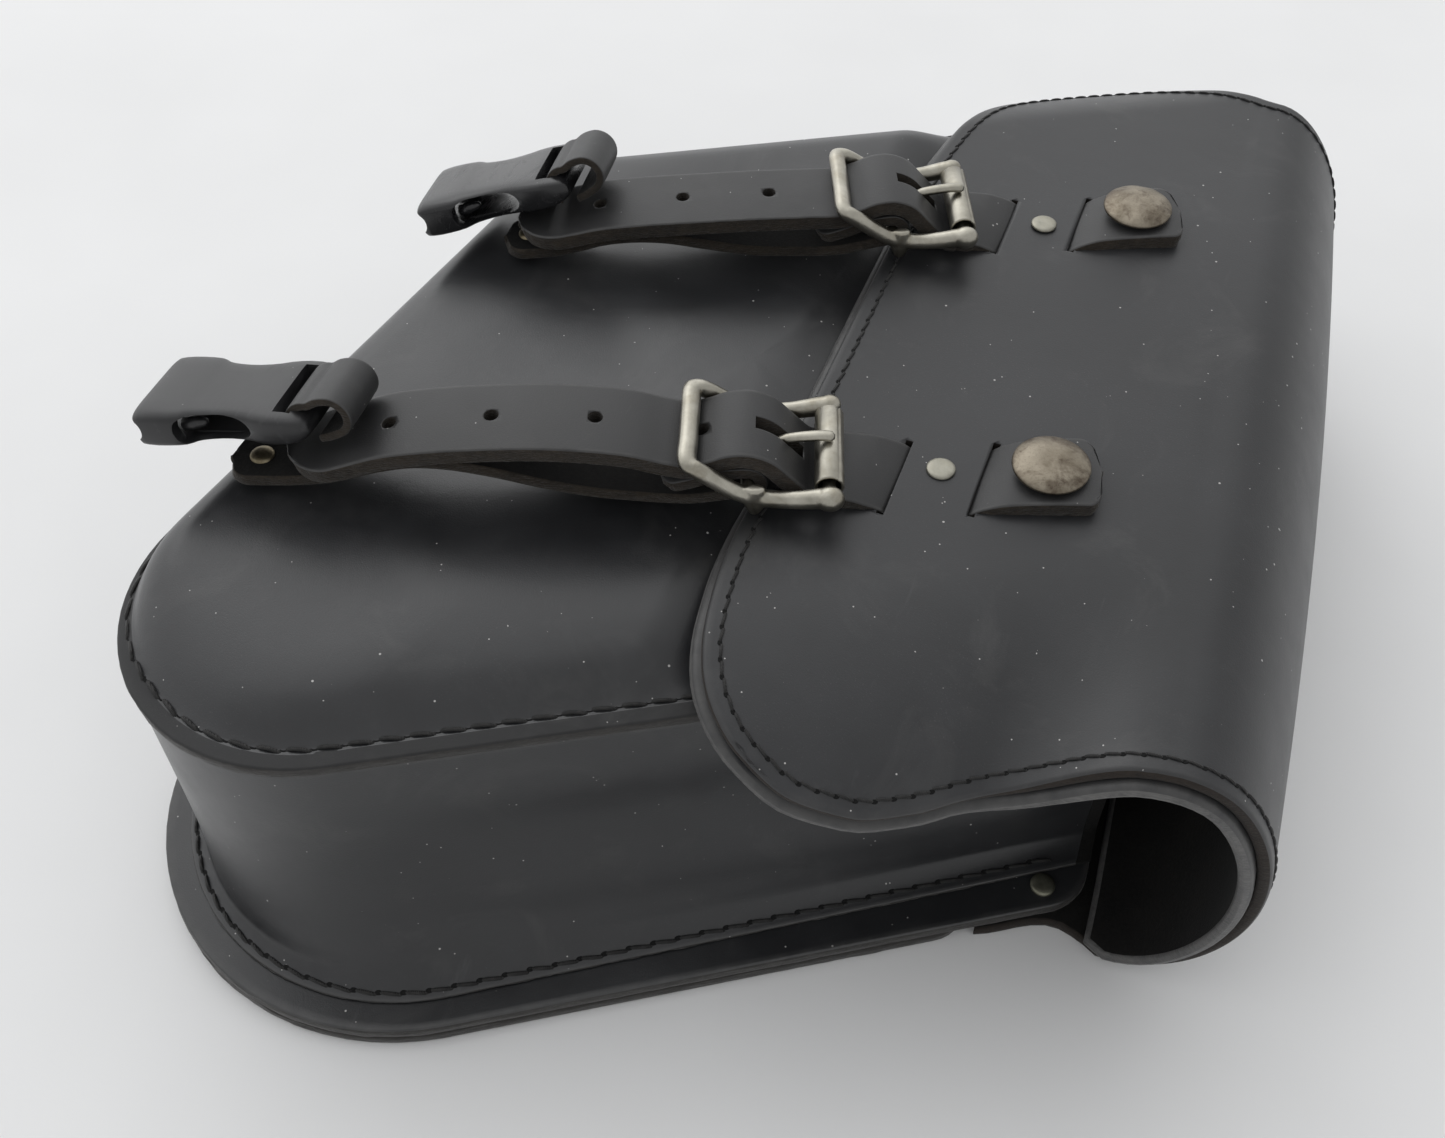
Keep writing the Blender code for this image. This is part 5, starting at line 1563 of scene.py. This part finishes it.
# x, z of the finger windows
WINDOW = ((-35.6, 0), (-34.9, 2.5), (-33.0, 3.8), (-27, 3.8), (-20, 3.6), (-15.4, 2.5),
          (-13.6, 0), (-15.4, -2.5), (-20, -3.6), (-27, -3.8), (-33.0, -3.8), (-34.9, -2.5))


def normals_outward(ob):
    mesh = bmesh.new()
    mesh.from_mesh(ob.data)
    bmesh.ops.recalc_face_normals(mesh, faces=mesh.faces)
    mesh.to_mesh(ob.data)
    mesh.free()


def shell_body():
    """Waisted shell with a rounded-rectangle section."""
    sides, squareness = 40, 0.36
    verts = []
    for x, width, height in zip(SHELL_X, monotone(SHELL_WIDTH, SHELL_X),
                                monotone(SHELL_HEIGHT, SHELL_X)):
        for k in range(sides):
            angle = 2 * math.pi * k / sides
            cosine, sine = math.cos(angle), math.sin(angle)
            verts.append((x, width * math.copysign(abs(cosine) ** squareness, cosine),
                          height * math.copysign(abs(sine) ** squareness, sine)))
    first, last = end_caps(len(SHELL_X), sides)
    faces = grid_faces(len(SHELL_X), sides, wrap=True) + [first[::-1], last[::-1]]
    verts = np.array(verts)
    return verts, facing(verts, faces, sides * 5 + 10, UP)


def shell_cuts():
    """Mouth, slot beside the bar, and a window and mouth notch on each side."""
    cuts = [box(-49, -12.8, -12.1, 12.1, -3.4, 3.4), box(-7.1, -2.4, -11.3, 11.3, -9, 9)]
    outline = spline(WINDOW + WINDOW[:1], 1.2)[:-1]
    for sign in (-1, 1):
        cuts.append(prism(*(np.column_stack([outline[:, 0], np.full(len(outline), y),
                                             outline[:, 1]])
                            for y in sorted((9.0 * sign, 18.5 * sign)))))
        cuts.append(rod((-48.6, sign * 9.5, 0.4), (-48.6, sign * 19.0, 0.4), 3.7, sides=28))
    return cuts


def receiver(side, material):
    """Socket half of a side-release clip, and the ribs inside it."""
    name, place = "clip_receiver_" + side + "_shell", clip_place(side)
    ob = mesh_object(name, *shell_body(), [material])
    normals_outward(ob)
    cutters = [mesh_object("cutter", verts, faces, [material], smooth=False)
               for verts, faces in shell_cuts()]
    for cutter in cutters:
        normals_outward(cutter)
    cut_away(ob, cutters)
    soft = ob.modifiers.new("soft", "BEVEL")
    soft.width = 0.45 * MM
    soft.segments = 3
    soft.limit_method = "ANGLE"
    soft.angle_limit = math.radians(38)
    soft.harden_normals = False
    bake(ob)
    ribs = [tube([(-34.0, sign * 10.4, 0), (-31.0, sign * 10.9, 0.4),
                  (-28.0, sign * 10.6, 0.6)], [2.2, 1.9, 1.2], [2.0, 1.8, 1.1], sides=14)
            for sign in (-1, 1)]
    ribs = mesh_object(name + "_ribs", *merged(ribs), [material], world=place)
    only_material(ob, material)
    ob.data.transform(place)
    ob.data.shade_smooth()
    ob.data.set_sharp_from_angle(angle=math.radians(42))
    register(ob, ["clip_receiver_" + side], body="receiver_" + side)
    register(ribs, body="receiver_" + side)


receiver("near", PLASTIC)
receiver("far", PLASTIC_GLOSS)

# the plug halves and their straps keep the CAD's shape
for side in SIDES:
    for node, material in (("plug_strap_", STRAP), ("plug_rivet_", RIVET),
                           ("clip_plug_", PLASTIC)):
        only_material(frame["nodes"][node + side], material)


# ============================ stage, light and camera ============================
def table_top():
    shader = new_shader("table_top")
    mottle = shader.ramp(shader.noise(scale=6, detail=3, rough=0.6), start=0.35, end=0.65)
    colour = shader.mix(mottle, (0.80, 0.80, 0.80), (0.83, 0.83, 0.83))
    normal = shader.bump(shader.noise(scale=420, detail=3, rough=0.6), strength=0.05,
                         distance=0.0005)
    material = shader.finish(colour, 0.55, normal, specular=0.3)
    grid = bmesh.new()
    bmesh.ops.create_grid(grid, x_segments=8, y_segments=8, size=3.0)
    mesh = bpy.data.meshes.new("floor")
    grid.to_mesh(mesh)
    grid.free()
    mesh.materials.append(material)
    floor = bpy.data.objects.new("floor", mesh)
    floor.location = (0, 0, CAD_LOW[2] - 0.0002)
    SCENE.collection.objects.link(floor)


def studio():
    """White surroundings, brighter towards one direction."""
    world = bpy.data.worlds.new("studio")
    SCENE.world = world
    shader = Shader(world, "ShaderNodeOutputWorld")
    bright = Vector((-0.66, 0.54, 0.52)).normalized()
    towards = shader.new("ShaderNodeVectorMath",
                         {0: shader.coordinates["Generated"], 1: bright},
                         operation="DOT_PRODUCT").outputs["Value"]
    strength = shader.ramp(towards, start=0.20, end=0.95, low=0.68, high=1.42,
                           interpolation_type="SMOOTHSTEP")
    background = shader.new("ShaderNodeBackground", {"Strength": strength,
                                                     "Color": (0.985, 0.992, 1.0, 1)})
    shader.plug(background.outputs[0], shader.output.inputs["Surface"])


def window_light():
    light = bpy.data.lights.new("window", "AREA")
    light.shape = "RECTANGLE"
    light.size, light.size_y = 2.4, 1.8
    light.energy = 13.0
    light.color = (0.99, 0.995, 1.0)
    place, target = Vector((-2.1, 2.1, 2.6)), Vector((0, 0, 0.05))
    ob = bpy.data.objects.new("window", light)
    ob.location = place
    ob.rotation_mode = "QUATERNION"
    ob.rotation_quaternion = (target - place).to_track_quat("-Z", "Y")
    SCENE.collection.objects.link(ob)


def add_camera():
    lens = bpy.data.cameras.new("camera")
    lens.lens = 37.67
    lens.sensor_width = 36.0
    lens.clip_start = 0.01
    camera = bpy.data.objects.new("camera", lens)
    camera.location = (0.0874, -0.3158, 0.4164)
    camera.rotation_euler = (math.radians(39.65), 0, math.radians(20.9))
    SCENE.collection.objects.link(camera)
    SCENE.camera = camera


table_top()
studio()
window_light()
add_camera()
SCENE.view_settings.view_transform = "Standard"
SCENE.view_settings.look = "None"
